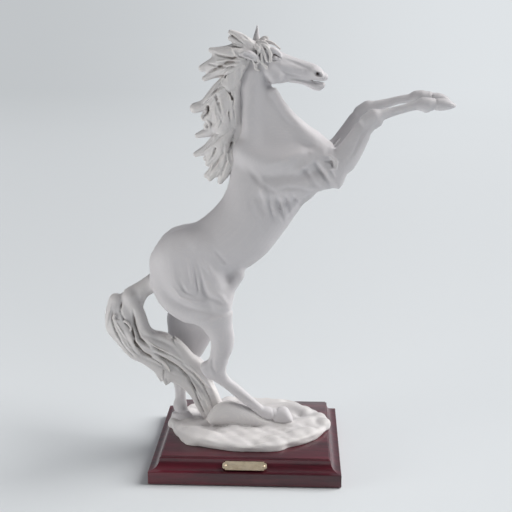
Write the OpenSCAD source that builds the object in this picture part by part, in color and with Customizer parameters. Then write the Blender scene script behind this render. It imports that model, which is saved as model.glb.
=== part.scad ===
// Rearing horse statuette: cast figure on a lacquered wooden plinth.
// Millimetres, +Z up. The origin is the centre of the felt pad's underside.
// The horse faces +X, its right side and the nameplate look towards -Y.

/* [Plinth] */
// Length of the plinth along the horse
base_w = 200; // [180:1:240]
// Depth of the plinth from front to back
base_d = 190; // [175:1:230]
// Height of the plinth with its felt pad
base_h = 27.5; // [26:0.5:36]
// Height of the plain band at the foot of the mouldings
band_h = 14.5; // [13:0.5:15]
// Radius of the hollow above the band
cove_r = 10; // [8:0.5:10]
// Width of the moulding rails
rail_w = 22; // [20:1:26]
// Thickness of the top panel
panel_t = 5; // [4:0.5:6]
// How far the top panel stands above the mouldings
panel_step = 1.5; // [1:0.25:2]
// Thickness of the bottom board
board_t = 6; // [4:0.5:7]
// Thickness of the felt pad
felt_t = 1; // [0.8:0.1:1.5]
// Side of the square glue blocks
block_w = 18; // [14:1:22]

/* [Nameplate] */
// Length of the nameplate
plate_w = 46; // [36:1:60]
// Height of the nameplate
plate_h = 9.5; // [7:0.5:11]
// Thickness of the nameplate
plate_t = 1; // [0.8:0.1:1.5]
// Diameter of the two nameplate pins
plate_pin_d = 1.6; // [1.2:0.1:2]

/* [Figure] */
// Height of the horse from the plinth to the ear tip
figure_h = 438; // [400:1:460]
// Thickness of the ground casting at its rim
ground_t = 6; // [5:0.5:7]

/* [Pins and screws] */
// Diameter of the neck dowel
neck_dowel_d = 8; // [6:0.5:10]
// Diameter of the head dowel
head_dowel_d = 5; // [4:0.5:6]
// Diameter of the two foreleg dowels
foreleg_dowel_d = 5; // [4:0.5:6]
// Diameter of the two hind leg dowels
hindleg_dowel_d = 7; // [5:0.5:8]
// Diameter of the tail dowel
tail_dowel_d = 5; // [4:0.5:6]
// Diameter of the pins under the feet and the tail end
foot_pin_d = 3.5; // [3:0.25:4]
// Clearance of a pin in its hole, on the diameter
pin_fit = 0.2; // [0.1:0.05:0.4]
// Thread diameter of the two fixing screws
fixing_d = 5; // [4:0.5:6]
// Distance between the two fixing screws
fixing_pitch = 90; // [70:1:100]
// Thread diameter of the bottom board screws
board_screw_d = 3; // [2.5:0.25:3.5]

/* [Hidden] */
$fn = 48;
designed_h = 438;
scale_k = figure_h / designed_h;
insert_d = fixing_d + 2.5;
insert_h = ground_t + 1.5;
washer_t = 1;
head_h = 3.2;
half_w = base_w / 2;
half_d = base_d / 2;
felt_inset = 3;
rail_top = base_h - panel_step;
lip_w = 1.5;
ledge = 1;
cove_in = cove_r + ledge;
panel_w = base_w - 2 * (cove_in + lip_w);
panel_d = base_d - 2 * (cove_in + lip_w);
panel_z = base_h - panel_t;
inner_w = base_w - 2 * rail_w;
inner_d = base_d - 2 * rail_w;
plate_back = sqrt(cove_r * cove_r - plate_h * plate_h / 4);
RESIN = "whitesmoke";
WOOD = "saddlebrown";

// ---- section tables of the castings, measured from the plinth's top --------
// Each row: front or upper edge x, z, rear or lower edge x, z, half width, y
TORSO = [
    [-105, 175, -101, 160, 9, 0], [-103, 189, -88, 152, 24, 0],
    [-96, 201, -70, 149, 31, 0], [-86, 212, -52, 154, 34, 0],
    [-74, 222, -36, 163, 35, 0], [-60, 230, -20, 172, 34, 0],
    [-48, 238, -5, 181, 33, 0], [-37, 248, 9, 190, 33, 0],
    [-28, 259, 21, 201, 33, 0], [-22, 273, 31, 214, 33, 0],
    [-19, 287, 41, 228, 32, 0], [-15, 300, 51, 243, 31, 0],
    [-11, 312, 60, 256, 29, 0], [-6, 322, 70, 267, 26, 0],
    [6, 330, 80, 280, 24, 0], [26, 336, 86, 297, 20, 0],
    [52, 336, 84, 314, 14, 0]];
NECK = [
    [-13, 300, 86, 304, 23, 0], [-11, 314, 83, 316, 22, 0],
    [-10, 325, 76, 326, 20, 0], [-10, 334, 64, 335, 18, 0],
    [-11, 345, 52, 344, 16.5, 0], [-13, 358, 38, 356, 15, 0],
    [-15, 371, 28, 368, 13.5, 0], [-13, 386, 22, 380, 12.5, 0],
    [-7, 400, 25, 388, 12, 0], [2, 412, 32, 396, 11, 0]];
HEAD = [
    [1, 410, 13, 385, 10, 0], [9, 418, 19, 381, 12.5, 0],
    [17, 419, 25, 379, 13.5, 0], [26, 416, 31, 378, 13.5, 0],
    [35, 411, 38, 378, 12, 0], [45, 407, 46, 380, 10, 0],
    [54, 404, 54, 380, 8.8, 0], [62, 401, 61, 379, 8.2, 0],
    [69, 399, 67, 377, 8.6, 0], [74, 395, 71, 375, 8.2, 0],
    [79, 387, 75, 376, 6, 0]];
RIGHT_FORELEG = [
    [85, 314, 94, 274, 12, -24], [90, 311, 102, 288, 11.5, -25],
    [97, 313, 110, 301, 10, -25], [103, 318, 115, 311, 8.5, -25],
    [110, 328, 119, 320, 7.5, -25], [115, 339, 125, 329, 7.2, -24],
    [119, 348, 131, 337, 7.6, -24], [126, 353, 136, 341, 7.6, -23],
    [135, 355, 139, 343, 6.8, -22], [146, 357, 149, 347, 5.3, -21],
    [158, 360, 160, 351, 4.8, -21], [170, 364, 172, 354, 5.2, -20],
    [180, 366, 181, 352, 6, -20], [186, 364, 187, 357, 5.3, -19],
    [191, 365, 190, 354, 6.5, -19], [199, 366, 197, 353, 7.5, -18],
    [206, 363, 205, 355, 7, -18], [211, 360, 211, 357, 4, -18]];
LEFT_FORELEG = [
    [80, 314, 92, 276, 12, 24], [87, 316, 100, 292, 11.5, 25],
    [96, 322, 108, 307, 10, 25], [102, 332, 113, 320, 8.5, 25],
    [108, 343, 119, 331, 7.5, 25], [114, 351, 125, 338, 7.3, 25],
    [119, 356, 131, 343, 7.6, 24], [126, 359, 136, 346, 7.5, 24],
    [136, 361, 139, 349, 6.8, 23], [146, 363, 149, 353, 5.3, 22],
    [158, 366, 160, 357, 4.8, 21], [170, 368, 172, 358, 5.2, 21],
    [180, 370, 181, 356, 6, 20], [186, 367, 187, 360, 5.3, 20],
    [191, 368, 190, 357, 6.5, 20], [199, 369, 197, 356, 7.5, 20],
    [206, 366, 205, 358, 7, 20], [210, 363, 210, 360, 4, 20]];
RIGHT_HIND_LEG = [
    [-16, 140, -56, 130, 15, -26], [-16, 126, -46, 118, 12.5, -25],
    [-16, 112, -40, 108, 10.5, -25], [-20, 98, -40, 96, 8.8, -24],
    [-23, 88, -42, 87, 7.6, -23], [-24, 80, -47, 81, 7.2, -22],
    [-23, 71, -51, 74, 7, -21], [-19, 63, -42, 64, 6.8, -19],
    [-12, 57, -26, 52, 6.2, -17], [-4, 49, -13, 40, 5.6, -15],
    [5, 40, -3, 31, 5.2, -13], [14, 31, 6, 23, 5.5, -11],
    [22, 25, 13, 15, 6.5, -9], [28, 23, 21, 12, 6, -8],
    [34, 26, 28, 9, 7.5, -7], [42, 26, 40, 8, 8.5, -6],
    [48, 20, 49, 8, 7, -6]];
LEFT_HIND_LEG = [
    [-24, 150, -80, 150, 16, 24], [-30, 130, -92, 124, 14.5, 25],
    [-38, 112, -92, 104, 12, 24], [-48, 94, -91, 86, 9.5, 22],
    [-58, 78, -92, 72, 8, 20], [-65, 66, -90, 60, 7.5, 17],
    [-69, 54, -87, 50, 6.5, 15], [-71, 42, -84, 40, 5.6, 13],
    [-71, 30, -83, 30, 5.3, 10], [-70, 20, -85, 21, 6.2, 7],
    [-68, 14, -84, 13, 6.4, 5], [-64, 10, -86, 9, 7.5, 4],
    [-60, 6, -87, 5, 8, 3]];
TAIL = [
    [-98, 177, -96, 158, 8, 0], [-108, 173, -106, 153, 8.5, 0],
    [-120, 165, -112, 148, 9.5, -1], [-134, 157, -115, 141, 11, -2],
    [-147, 145, -116, 132, 12, -4], [-157, 128, -115, 125, 13, -6],
    [-159, 112, -110, 117, 13, -8], [-146, 97, -102, 111, 13, -9],
    [-134, 83, -92, 110, 13, -9], [-121, 76, -81, 105, 12, -8],
    [-108, 66, -71, 95, 11, -7], [-95, 56, -64, 84, 10, -5],
    [-80, 50, -51, 76, 9, -4], [-66, 37, -43, 60, 8, -1],
    [-60, 22, -37, 42, 7, 3], [-50, 9, -31, 24, 6, 7]];

// Joint planes: centre, and the turn about Y that lays the axis on the limb
NECK_JOINT = [[32, 0, 317], -9];
HEAD_JOINT = [[11, 0, 397], 58.6];
RIGHT_FORE_JOINT = [[100, -25, 303], 35];
LEFT_FORE_JOINT = [[98, 25, 307], 35];
RIGHT_HIND_JOINT = [[-31, -25, 117], 11.5];
LEFT_HIND_JOINT = [[-60, 24, 122], 20];
TAIL_JOINT = [[-105, 0, 164], -113];

// Pins under the feet: point on the sole, and length
RIGHT_FOOT = [38, -6.5, 9];
LEFT_FOOT = [-74, 3.5, 7];
TAIL_FOOT = [-42, 7, 9];

// Locks of hair: root, bend and tip with their radii
UPPER_LOCKS = [
    [[0, 0, 412, 8], [-10, -1, 422, 6], [-20, -2, 431, 1.5]],
    [[-4, -2, 405, 9], [-24, -3, 410, 6], [-40, -3, 413, 1.5]],
    [[-9, 2, 398, 9], [-32, 2, 399, 7], [-51, 0, 394, 2]],
    [[-12, -2, 390, 8], [-32, -3, 386, 5], [-47, -4, 383, 1.5]],
    [[3, 2, 416, 7], [-8, 4, 420, 4], [-19, 5, 424, 1.2]]];
MIDDLE_LOCKS = [
    [[-14, 0, 382, 9], [-30, -1, 376, 7], [-45, -2, 366, 2]],
    [[-13, -1, 370, 9], [-38, -3, 364, 8], [-61, -3, 355, 3]],
    [[-12, 1, 360, 9], [-34, 2, 352, 7], [-49, 2, 345, 2]],
    [[-10, -1, 350, 9], [-34, -2, 336, 7], [-54, -3, 323, 2]]];
LOWER_LOCKS = [
    [[-10, 0, 338, 8], [-34, 1, 324, 7], [-56, 0, 305, 2]],
    [[-10, -2, 328, 8], [-30, -3, 309, 6], [-44, -3, 292, 2]],
    [[-12, 2, 318, 8], [-30, 3, 300, 6], [-46, 2, 281, 2]],
    [[-14, -1, 308, 7], [-25, -2, 290, 6], [-32, -2, 274, 2]]];
FORELOCK = [
    [[6, 0, 421, 5], [15, -3, 425, 4], [24, -6, 420, 1.8]],
    [[7, 2, 420, 5], [18, 3, 423, 4], [31, 1, 414, 1.6]],
    [[5, -3, 419, 5], [13, -8, 415, 3.5], [19, -12, 407, 1.6]],
    [[5, 4, 419, 5], [13, 8, 416, 3.5], [20, 11, 408, 1.6]]];
TAIL_LOCKS = [
    [[-146, -6, 130, 9], [-155, -9, 118, 5], [-159, -11, 109, 1.6]],
    [[-140, -8, 112, 9], [-146, -12, 99, 5], [-140, -14, 86, 1.6]],
    [[-124, -9, 96, 8], [-126, -13, 84, 5], [-120, -14, 76, 1.6]],
    [[-108, -8, 86, 8], [-106, -12, 70, 4], [-98, -12, 58, 1.6]],
    [[-92, -8, 76, 7], [-92, -11, 60, 4], [-87, -11, 47, 1.6]]];

// ---- curves ---------------------------------------------------------------
function blend4(a, b, c, d, t) =
    0.5 * (2 * b + (c - a) * t + (2 * a - 5 * b + 4 * c - d) * t * t
           + (3 * b - a - 3 * c + d) * t * t * t);
function smooth_rows(rows, steps) =
    let (last = len(rows) - 1)
    concat([for (i = [0 : last - 1]) for (s = [0 : steps - 1])
                blend4(rows[max(i - 1, 0)], rows[i], rows[i + 1],
                       rows[min(i + 2, last)], s / steps)],
           [rows[last]]);
function ring(row, sides) =
    let (mid = [(row[0] + row[2]) / 2, row[5], (row[1] + row[3]) / 2],
         up = [(row[0] - row[2]) / 2, 0, (row[1] - row[3]) / 2])
    [for (s = [0 : sides - 1])
        mid + up * cos(360 * s / sides) + [0, row[4] * sin(360 * s / sides), 0]];

// True when the rows advance so that the skin's faces turn outwards
function runs_forward(rows) =
    let (a = rows[0], b = rows[2],
         dx = b[0] + b[2] - a[0] - a[2], dz = b[1] + b[3] - a[1] - a[3])
    dx * (a[1] - a[3]) - dz * (a[0] - a[2]) > 0;

// Closed skin through the section rows
module loft(rows, steps = 2, sides = 24) {
    sections = smooth_rows(rows, steps);
    count = len(sections);
    points = [for (row = sections) each ring(row, sides)];
    walls = [for (i = [0 : count - 2]) for (s = [0 : sides - 1])
        let (a = i * sides + s, b = i * sides + (s + 1) % sides)
        each [[a, b, b + sides], [a, b + sides, a + sides]]];
    caps = [[for (s = [sides - 1 : -1 : 0]) s],
            [for (s = [0 : sides - 1]) (count - 1) * sides + s]];
    faces = concat(walls, caps);
    polyhedron(points, runs_forward(rows) ? faces
        : [for (f = faces) [for (i = [len(f) - 1 : -1 : 0]) f[i]]], convexity = 6);
}

// Rounded mass over a list of balls, each x, y, z, radius
module mass(balls, sides = 16) {
    hull() for (b = balls) translate([b[0], b[1], b[2]]) sphere(r = b[3], $fn = sides);
}

module both_sides() {
    children();
    mirror([0, 1, 0]) children();
}

// Tapered lock of hair through root, bend and tip
module lock(points) {
    for (i = [0 : len(points) - 2]) mass([points[i], points[i + 1]], 10);
}

// The figure stands on the plinth and grows from there
module figure() {
    translate([0, 0, base_h]) scale(scale_k) children();
}

// Puts a child on a joint plane, its +Z along the limb
module at_joint(joint) {
    translate(joint[0]) rotate([0, joint[1], 0]) children();
}

// Block on one side of a joint plane: x range, half width, z range
module joint_block(joint, x0, x1, y0, y1, z0, z1) {
    at_joint(joint) translate([x0, y0, z0]) cube([x1 - x0, y1 - y0, z1 - z0]);
}

module dowel_bore(joint, d, half) {
    at_joint(joint) cylinder(d = d + pin_fit, h = 2 * half + pin_fit,
                             center = true, $fn = 32);
}

module dowel(joint, d, half) {
    at_joint(joint) cylinder(d = d, h = 2 * half, center = true);
}

// Space of each limb beyond its joint
module neck_space() { joint_block(NECK_JOINT, -90, 90, -60, 60, 0, 160); }
module head_space() { joint_block(HEAD_JOINT, -40, 24, -40, 40, 0, 110); }
module right_fore_space() {
    joint_block(RIGHT_FORE_JOINT, -12.5, 120, -16, 16, 0, 160);
}
module left_fore_space() {
    joint_block(LEFT_FORE_JOINT, -12.5, 120, -16, 16, 0, 160);
}
module right_hind_space() {
    joint_block(RIGHT_HIND_JOINT, -24, 140, -20, 34, -160, 0);
}
module left_hind_space() {
    joint_block(LEFT_HIND_JOINT, -38, 70, -36, 20, -160, 0);
}
module tail_space() { joint_block(TAIL_JOINT, -15, 15, -11, 11, 0, 20); }

neck_half = 16;
head_half = 10;
fore_half = 12;
hind_half = 14;
tail_half = 10;
foot_half = 4;

module foot_bore(place) {
    translate(place) cylinder(d = foot_pin_d + pin_fit,
                              h = 2 * foot_half + pin_fit, center = true, $fn = 24);
}

// ---- castings ---------------------------------------------------------------
module thigh(side) {
    mirror([0, side < 0 ? 0 : 1, 0]) {
        mass([[-66, -15, 188, 22], [-85, -15, 158, 18], [-60, -20, 139, 16],
              [-31, -21, 137, 15], [-38, -18, 160, 18]]);
    }
}

module torso_casting() color(RESIN) figure() difference() {
    union() {
        loft(TORSO, 2, 28);
        thigh(-1);
        thigh(1);
        both_sides() {
            mass([[20, -18, 290, 16], [62, -20, 296, 14], [40, -20, 262, 15]]);
            mass([[70, -17, 300, 15], [84, -22, 292, 13], [78, -14, 316, 10]]);
            mass([[-70, -14, 205, 20], [-86, -14, 190, 17]]);
        }
        for (rows = [RIGHT_FORELEG, LEFT_FORELEG, RIGHT_HIND_LEG, LEFT_HIND_LEG])
            loft([for (i = [0 : 3]) rows[i]], 2, 20);
    }
    neck_space();
    right_fore_space();
    left_fore_space();
    right_hind_space();
    left_hind_space();
    tail_space();
    dowel_bore(NECK_JOINT, neck_dowel_d, neck_half);
    dowel_bore(RIGHT_FORE_JOINT, foreleg_dowel_d, fore_half);
    dowel_bore(LEFT_FORE_JOINT, foreleg_dowel_d, fore_half);
    dowel_bore(RIGHT_HIND_JOINT, hindleg_dowel_d, hind_half);
    dowel_bore(LEFT_HIND_JOINT, hindleg_dowel_d, hind_half);
    dowel_bore(TAIL_JOINT, tail_dowel_d, tail_half);
}

module neck_solid() {
    difference() {
        union() {
            loft(NECK, 2, 24);
            both_sides() for (i = [0 : 3])
                mass([[62 - 12 * i, -12 + i, 322 + 13 * i, 7],
                      [50 - 10 * i, -11 + i, 335 + 13 * i, 6]], 12);
        }
        joint_block(NECK_JOINT, -90, 90, -60, 60, -60, 0);
        head_space();
    }
}

module ears() {
    mass([[7, 8, 418, 4.5], [8, 9, 430, 3], [8, 9, 437, 1]], 12);
    mass([[8, -9, 413, 4.5], [1, -10, 413, 3], [-6, -10, 412, 1]], 12);
}

module neck_casting() color(RESIN) figure() difference() {
    neck_solid();
    ears();
    dowel_bore(NECK_JOINT, neck_dowel_d, neck_half);
    dowel_bore(HEAD_JOINT, head_dowel_d, head_half);
}

module head_solid() {
    difference() {
        union() {
            loft(HEAD, 2, 24);
            both_sides() {
                mass([[24, -9, 392, 7], [30, -8, 388, 6], [26, -8, 384, 6]], 12);
                mass([[24, -9, 407, 4], [33, -8, 404, 3.5]], 10);
                mass([[70, -5, 388, 4], [74, -5, 385, 3.5]], 10);
            }
            mass([[66, 0, 377, 4], [72, 0, 375, 3.5]], 10);
        }
        joint_block(HEAD_JOINT, -60, 60, -40, 40, -60, 0);
        dowel_bore(HEAD_JOINT, head_dowel_d, head_half);
    }
    difference() {
        ears();
        joint_block(HEAD_JOINT, -18, 18, -6, 6, -60, 0);
    }
}

module head_casting() color(RESIN) figure() head_solid();

module hair(locks) {
    for (points = locks) lock(points);
}

module forelock_casting() color(RESIN) figure() difference() {
    hair(FORELOCK);
    head_solid();
    neck_solid();
}

module mane_upper() color(RESIN) figure() difference() {
    hair(UPPER_LOCKS);
    neck_solid();
    head_solid();
    hair(FORELOCK);
}

module mane_middle() color(RESIN) figure() difference() {
    hair(MIDDLE_LOCKS);
    neck_solid();
    hair(UPPER_LOCKS);
}

module mane_lower() color(RESIN) figure() difference() {
    hair(LOWER_LOCKS);
    neck_solid();
    hair(MIDDLE_LOCKS);
    loft(TORSO, 2, 28);
}

module foreleg(rows, joint) {
    difference() {
        intersection() {
            union() {
                loft(rows, 2, 20);
                for (i = [3 : 11]) mass([
                    [(rows[i][0] + rows[i][2]) / 2, rows[i][5],
                     (rows[i][1] + rows[i][3]) / 2, rows[i][4] * 0.9],
                    [(rows[i + 1][0] + rows[i + 1][2]) / 2, rows[i + 1][5],
                     (rows[i + 1][1] + rows[i + 1][3]) / 2, rows[i + 1][4] * 0.9]], 12);
            }
            joint_block(joint, -30, 140, -20, 20, 0, 160);
        }
        dowel_bore(joint, foreleg_dowel_d, fore_half);
    }
}

module right_foreleg() color(RESIN) figure()
    foreleg(RIGHT_FORELEG, RIGHT_FORE_JOINT);

module left_foreleg() color(RESIN) figure()
    foreleg(LEFT_FORELEG, LEFT_FORE_JOINT);

module hind_leg(rows, joint) {
    difference() {
        union() {
            loft(rows, 2, 20);
            for (i = [2 : 10]) mass([
                [(rows[i][0] + rows[i][2]) / 2, rows[i][5],
                 (rows[i][1] + rows[i][3]) / 2, rows[i][4] * 0.9],
                [(rows[i + 1][0] + rows[i + 1][2]) / 2, rows[i + 1][5],
                 (rows[i + 1][1] + rows[i + 1][3]) / 2, rows[i + 1][4] * 0.9]], 12);
        }
        joint_block(joint, -60, 60, -40, 40, 0, 60);
        dowel_bore(joint, hindleg_dowel_d, hind_half);
    }
}

module right_hind_leg() color(RESIN) figure() difference() {
    hind_leg(RIGHT_HIND_LEG, RIGHT_HIND_JOINT);
    foot_bore(RIGHT_FOOT);
    ground_block();
}

module left_hind_leg() color(RESIN) figure() difference() {
    hind_leg(LEFT_HIND_LEG, LEFT_HIND_JOINT);
    foot_bore(LEFT_FOOT);
    ground_block();
}

module tail_casting() color(RESIN) figure() difference() {
    union() {
        loft(TAIL, 2, 20);
        hair(TAIL_LOCKS);
    }
    joint_block(TAIL_JOINT, -15, 15, -12, 12, -30, 0);
    dowel_bore(TAIL_JOINT, tail_dowel_d, tail_half);
    foot_bore(TAIL_FOOT);
    hind_leg(RIGHT_HIND_LEG, RIGHT_HIND_JOINT);
    hind_leg(LEFT_HIND_LEG, LEFT_HIND_JOINT);
    ground_block();
}

// ---- ground casting ---------------------------------------------------------
ground_rx = 88;
ground_ry = 73;
ground_y = 2;
// Wavy oval edge of the ground, k shrinks it
function ground_edge(k) = [for (a = [0 : 6 : 354])
    let (wave = 1 + 0.018 * sin(3 * a + 40) + 0.012 * sin(7 * a))
    [ground_rx * k * wave * cos(a), ground_y + ground_ry * k * wave * sin(a)]];
ground_top = ground_t + 3;

module ground_slab(k, z0, z1) {
    translate([0, 0, z0]) linear_extrude(z1 - z0) polygon(ground_edge(k));
}

// What the feet and the tail rest on
module ground_block() {
    translate([-120, -100, -10]) cube([240, 200, 10 + ground_top]);
}

// Smooth buttress that rises under the right cannon
module mound() {
    mass([[-36, -14, 34, 4], [-34, -13, 8, 5], [-24, -12, 6, 7], [12, -8, 8, 4]], 12);
}

module insert_places() {
    for (x = [-1, 1]) translate([x * fixing_pitch / 2, 0, 0]) children();
}

module ground_casting() color(RESIN) difference() {
    figure() difference() {
        union() {
            ground_slab(1, 0, ground_t);
            ground_slab(0.965, ground_t, ground_t + 1.5);
            ground_slab(0.93, ground_t + 1.5, ground_top);
            mound();
        }
        hind_leg(RIGHT_HIND_LEG, RIGHT_HIND_JOINT);
        for (p = [RIGHT_FOOT, LEFT_FOOT, TAIL_FOOT]) foot_bore(p);
    }
    translate([0, 0, base_h]) insert_places()
        translate([0, 0, -1]) cylinder(d = insert_d, h = insert_h + 1);
}

// ---- dowels and pins ----------------------------------------------------------
module neck_dowel() color("silver") figure()
    dowel(NECK_JOINT, neck_dowel_d, neck_half);
module head_dowel() color("silver") figure()
    dowel(HEAD_JOINT, head_dowel_d, head_half);
module right_foreleg_dowel() color("silver") figure()
    dowel(RIGHT_FORE_JOINT, foreleg_dowel_d, fore_half);
module left_foreleg_dowel() color("silver") figure()
    dowel(LEFT_FORE_JOINT, foreleg_dowel_d, fore_half);
module right_hind_dowel() color("silver") figure()
    dowel(RIGHT_HIND_JOINT, hindleg_dowel_d, hind_half);
module left_hind_dowel() color("silver") figure()
    dowel(LEFT_HIND_JOINT, hindleg_dowel_d, hind_half);
module tail_dowel() color("silver") figure()
    dowel(TAIL_JOINT, tail_dowel_d, tail_half);

module foot_pin(place) color("silver") figure()
    translate(place) cylinder(d = foot_pin_d, h = 2 * foot_half, center = true);

module right_foot_pin() foot_pin(RIGHT_FOOT);
module left_foot_pin() foot_pin(LEFT_FOOT);
module tail_foot_pin() foot_pin(TAIL_FOOT);

// ---- plinth -----------------------------------------------------------------
// Rail section: x runs outwards from the plinth's centre line, y is height
module rail_section(half) {
    difference() {
        translate([half - rail_w, felt_t]) square([rail_w, rail_top - felt_t]);
        translate([half - rail_w - 1, panel_z])
            square([rail_w - cove_in - lip_w + 1, panel_t]);
        translate([half - ledge, rail_top]) circle(r = cove_r);
        translate([half - ledge, band_h]) square([ledge + 1, base_h]);
    }
}

// One mitred rail along X, on the +Y side
module rail(half, length) {
    difference() {
        rotate([90, 0, 90]) translate([0, 0, -length / 2])
            linear_extrude(length) rail_section(half);
        for (s = [0, 1]) mirror([s, 0, 0]) translate([length / 2, half, -1])
            rotate([0, 0, 45]) translate([-60, -60, 0]) cube([120, 60, base_h + 2]);
    }
}

module back_moulding() color(WOOD) rail(half_d, base_w);
module front_moulding() color(WOOD) difference() {
    rotate([0, 0, 180]) rail(half_d, base_w);
    plate_pin_places(0) cylinder(d = plate_pin_d, h = 6);
}
module left_moulding() color(WOOD) rotate([0, 0, 90]) rail(half_w, base_d);
module right_moulding() color(WOOD) rotate([0, 0, -90]) rail(half_w, base_d);

module top_panel() color(WOOD) difference() {
    translate([-panel_w / 2, -panel_d / 2, panel_z]) cube([panel_w, panel_d, panel_t]);
    insert_places() translate([0, 0, panel_z - 1])
        cylinder(d = fixing_d + 0.5, h = panel_t + 2);
}

module corner_places() {
    for (x = [-1, 1], y = [-1, 1])
        translate([x * (inner_w - block_w) / 2, y * (inner_d - block_w) / 2, 0]) children();
}

module corner_blocks() color("burlywood") difference() {
    corner_places() translate([-block_w / 2, -block_w / 2, felt_t + board_t])
        cube([block_w, block_w, panel_z - felt_t - board_t]);
    corner_places() translate([0, 0, felt_t])
        cylinder(d = board_screw_d, h = board_t + 9);
}

module bottom_board() color("burlywood") difference() {
    translate([-inner_w / 2, -inner_d / 2, felt_t]) cube([inner_w, inner_d, board_t]);
    insert_places() translate([0, 0, felt_t - 1])
        cylinder(d = fixing_d * 3, h = board_t + 2);
    corner_places() translate([0, 0, felt_t - 1])
        cylinder(d = board_screw_d + 0.4, h = board_t + 2);
    corner_places() translate([0, 0, felt_t - 0.01])
        cylinder(d1 = 2 * board_screw_d, d2 = board_screw_d, h = board_screw_d / 2);
}

// Countersunk screws, heads flush with the board's underside
module board_screws() color("silver") corner_places() translate([0, 0, felt_t]) {
    cylinder(d1 = 2 * board_screw_d, d2 = board_screw_d, h = board_screw_d / 2);
    cylinder(d = board_screw_d, h = board_t + 8);
}

module felt_pad() color("darkgreen")
    translate([felt_inset - half_w, felt_inset - half_d, 0])
        cube([base_w - 2 * felt_inset, base_d - 2 * felt_inset, felt_t]);

module ground_inserts() color("goldenrod") translate([0, 0, base_h])
    insert_places() difference() {
        cylinder(d = insert_d, h = insert_h);
        translate([0, 0, -1]) cylinder(d = fixing_d, h = insert_h);
    }

module fixing_washers() color("silver") insert_places()
    translate([0, 0, panel_z - washer_t]) difference() {
        cylinder(d = fixing_d * 2, h = washer_t);
        translate([0, 0, -1]) cylinder(d = fixing_d + 0.3, h = washer_t + 2);
    }

module fixing_screws() color("silver") insert_places() {
    translate([0, 0, panel_z - washer_t - head_h]) difference() {
        cylinder(d = fixing_d * 1.7, h = head_h);
        translate([0, 0, -0.5]) cylinder(d = fixing_d * 0.8, h = 2, $fn = 6);
    }
    translate([0, 0, panel_z - washer_t])
        cylinder(d = fixing_d, h = washer_t + panel_t + insert_h - 2);
}

// The plate lies over the hollow of the front moulding, leaning back
module at_plate() {
    translate([0, -half_d + ledge, rail_top])
        rotate([45, 0, 0]) translate([0, 0, -plate_back]) children();
}

module plate_pin_places(z) {
    for (x = [-1, 1]) at_plate()
        translate([x * (plate_w / 2 - 3), 0, z - 6 + plate_t]) children();
}

notch = 1.4;
// One corner of the plate's outline: a square nick with a cut corner
plate_corner = [[plate_w / 2 - 2 * notch, plate_h / 2],
                [plate_w / 2 - 2 * notch, plate_h / 2 - notch],
                [plate_w / 2 - notch, plate_h / 2 - notch],
                [plate_w / 2, plate_h / 2 - 2 * notch]];
function turned(points, sx, sy) = [for (p = points) [sx * p[0], sy * p[1]]];
function backwards(points) = [for (i = [len(points) - 1 : -1 : 0]) points[i]];

module nameplate() color("khaki") difference() {
    at_plate() linear_extrude(plate_t)
        polygon(concat(plate_corner, backwards(turned(plate_corner, 1, -1)),
                       turned(plate_corner, -1, -1),
                       backwards(turned(plate_corner, -1, 1))));
    plate_pin_places(0) cylinder(d = plate_pin_d, h = 8);
}

module nameplate_pins() color("goldenrod") plate_pin_places(0) {
    cylinder(d = plate_pin_d, h = 6);
    translate([0, 0, 6]) scale([1, 1, 0.5]) sphere(d = plate_pin_d * 1.5);
}

torso_casting();
neck_casting();
head_casting();
forelock_casting();
mane_upper();
mane_middle();
mane_lower();
right_foreleg();
left_foreleg();
right_hind_leg();
left_hind_leg();
tail_casting();
ground_casting();
neck_dowel();
head_dowel();
right_foreleg_dowel();
left_foreleg_dowel();
right_hind_dowel();
left_hind_dowel();
tail_dowel();
right_foot_pin();
left_foot_pin();
tail_foot_pin();
ground_inserts();
fixing_screws();
fixing_washers();
top_panel();
front_moulding();
back_moulding();
left_moulding();
right_moulding();
corner_blocks();
bottom_board();
board_screws();
felt_pad();
nameplate();
nameplate_pins();
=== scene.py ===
import math

import bmesh
import bpy
import numpy as np
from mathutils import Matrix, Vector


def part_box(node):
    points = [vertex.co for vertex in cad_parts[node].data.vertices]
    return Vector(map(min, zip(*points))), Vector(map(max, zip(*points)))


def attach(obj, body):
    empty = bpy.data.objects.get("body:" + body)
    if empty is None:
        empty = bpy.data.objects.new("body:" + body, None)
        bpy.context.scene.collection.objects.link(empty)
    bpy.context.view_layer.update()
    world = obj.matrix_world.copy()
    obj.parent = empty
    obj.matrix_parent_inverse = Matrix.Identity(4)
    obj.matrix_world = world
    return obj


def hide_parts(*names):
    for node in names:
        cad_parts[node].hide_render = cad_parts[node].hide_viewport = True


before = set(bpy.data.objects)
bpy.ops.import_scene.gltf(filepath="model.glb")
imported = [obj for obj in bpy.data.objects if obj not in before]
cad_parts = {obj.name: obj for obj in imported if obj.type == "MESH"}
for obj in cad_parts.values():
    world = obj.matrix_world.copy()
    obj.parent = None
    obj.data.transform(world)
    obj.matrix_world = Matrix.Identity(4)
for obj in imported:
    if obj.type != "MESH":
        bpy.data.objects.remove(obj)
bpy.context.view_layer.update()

import openvdb as vdb
from bpy.props import FloatProperty, FloatVectorProperty, PointerProperty
from mathutils import Matrix, Vector

bl_info = {
    "name": "Rearing horse statuette",
    "version": (1, 0, 0),
    "blender": (4, 5, 0),
    "location": "3D View > Sidebar > Statuette",
    "description": "Models a cast resin horse on a lacquered plinth",
    "category": "Add Mesh",
}

# ---- places taken from the frame -------------------------------------------------
MM = 0.001
DESIGNED_HEIGHT = 438.0
PLINTH_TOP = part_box("top_panel")[1][2]
EAR_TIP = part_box("head_casting")[1][2]
FIGURE_SCALE = (EAR_TIP - PLINTH_TOP) / (DESIGNED_HEIGHT * MM)

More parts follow.
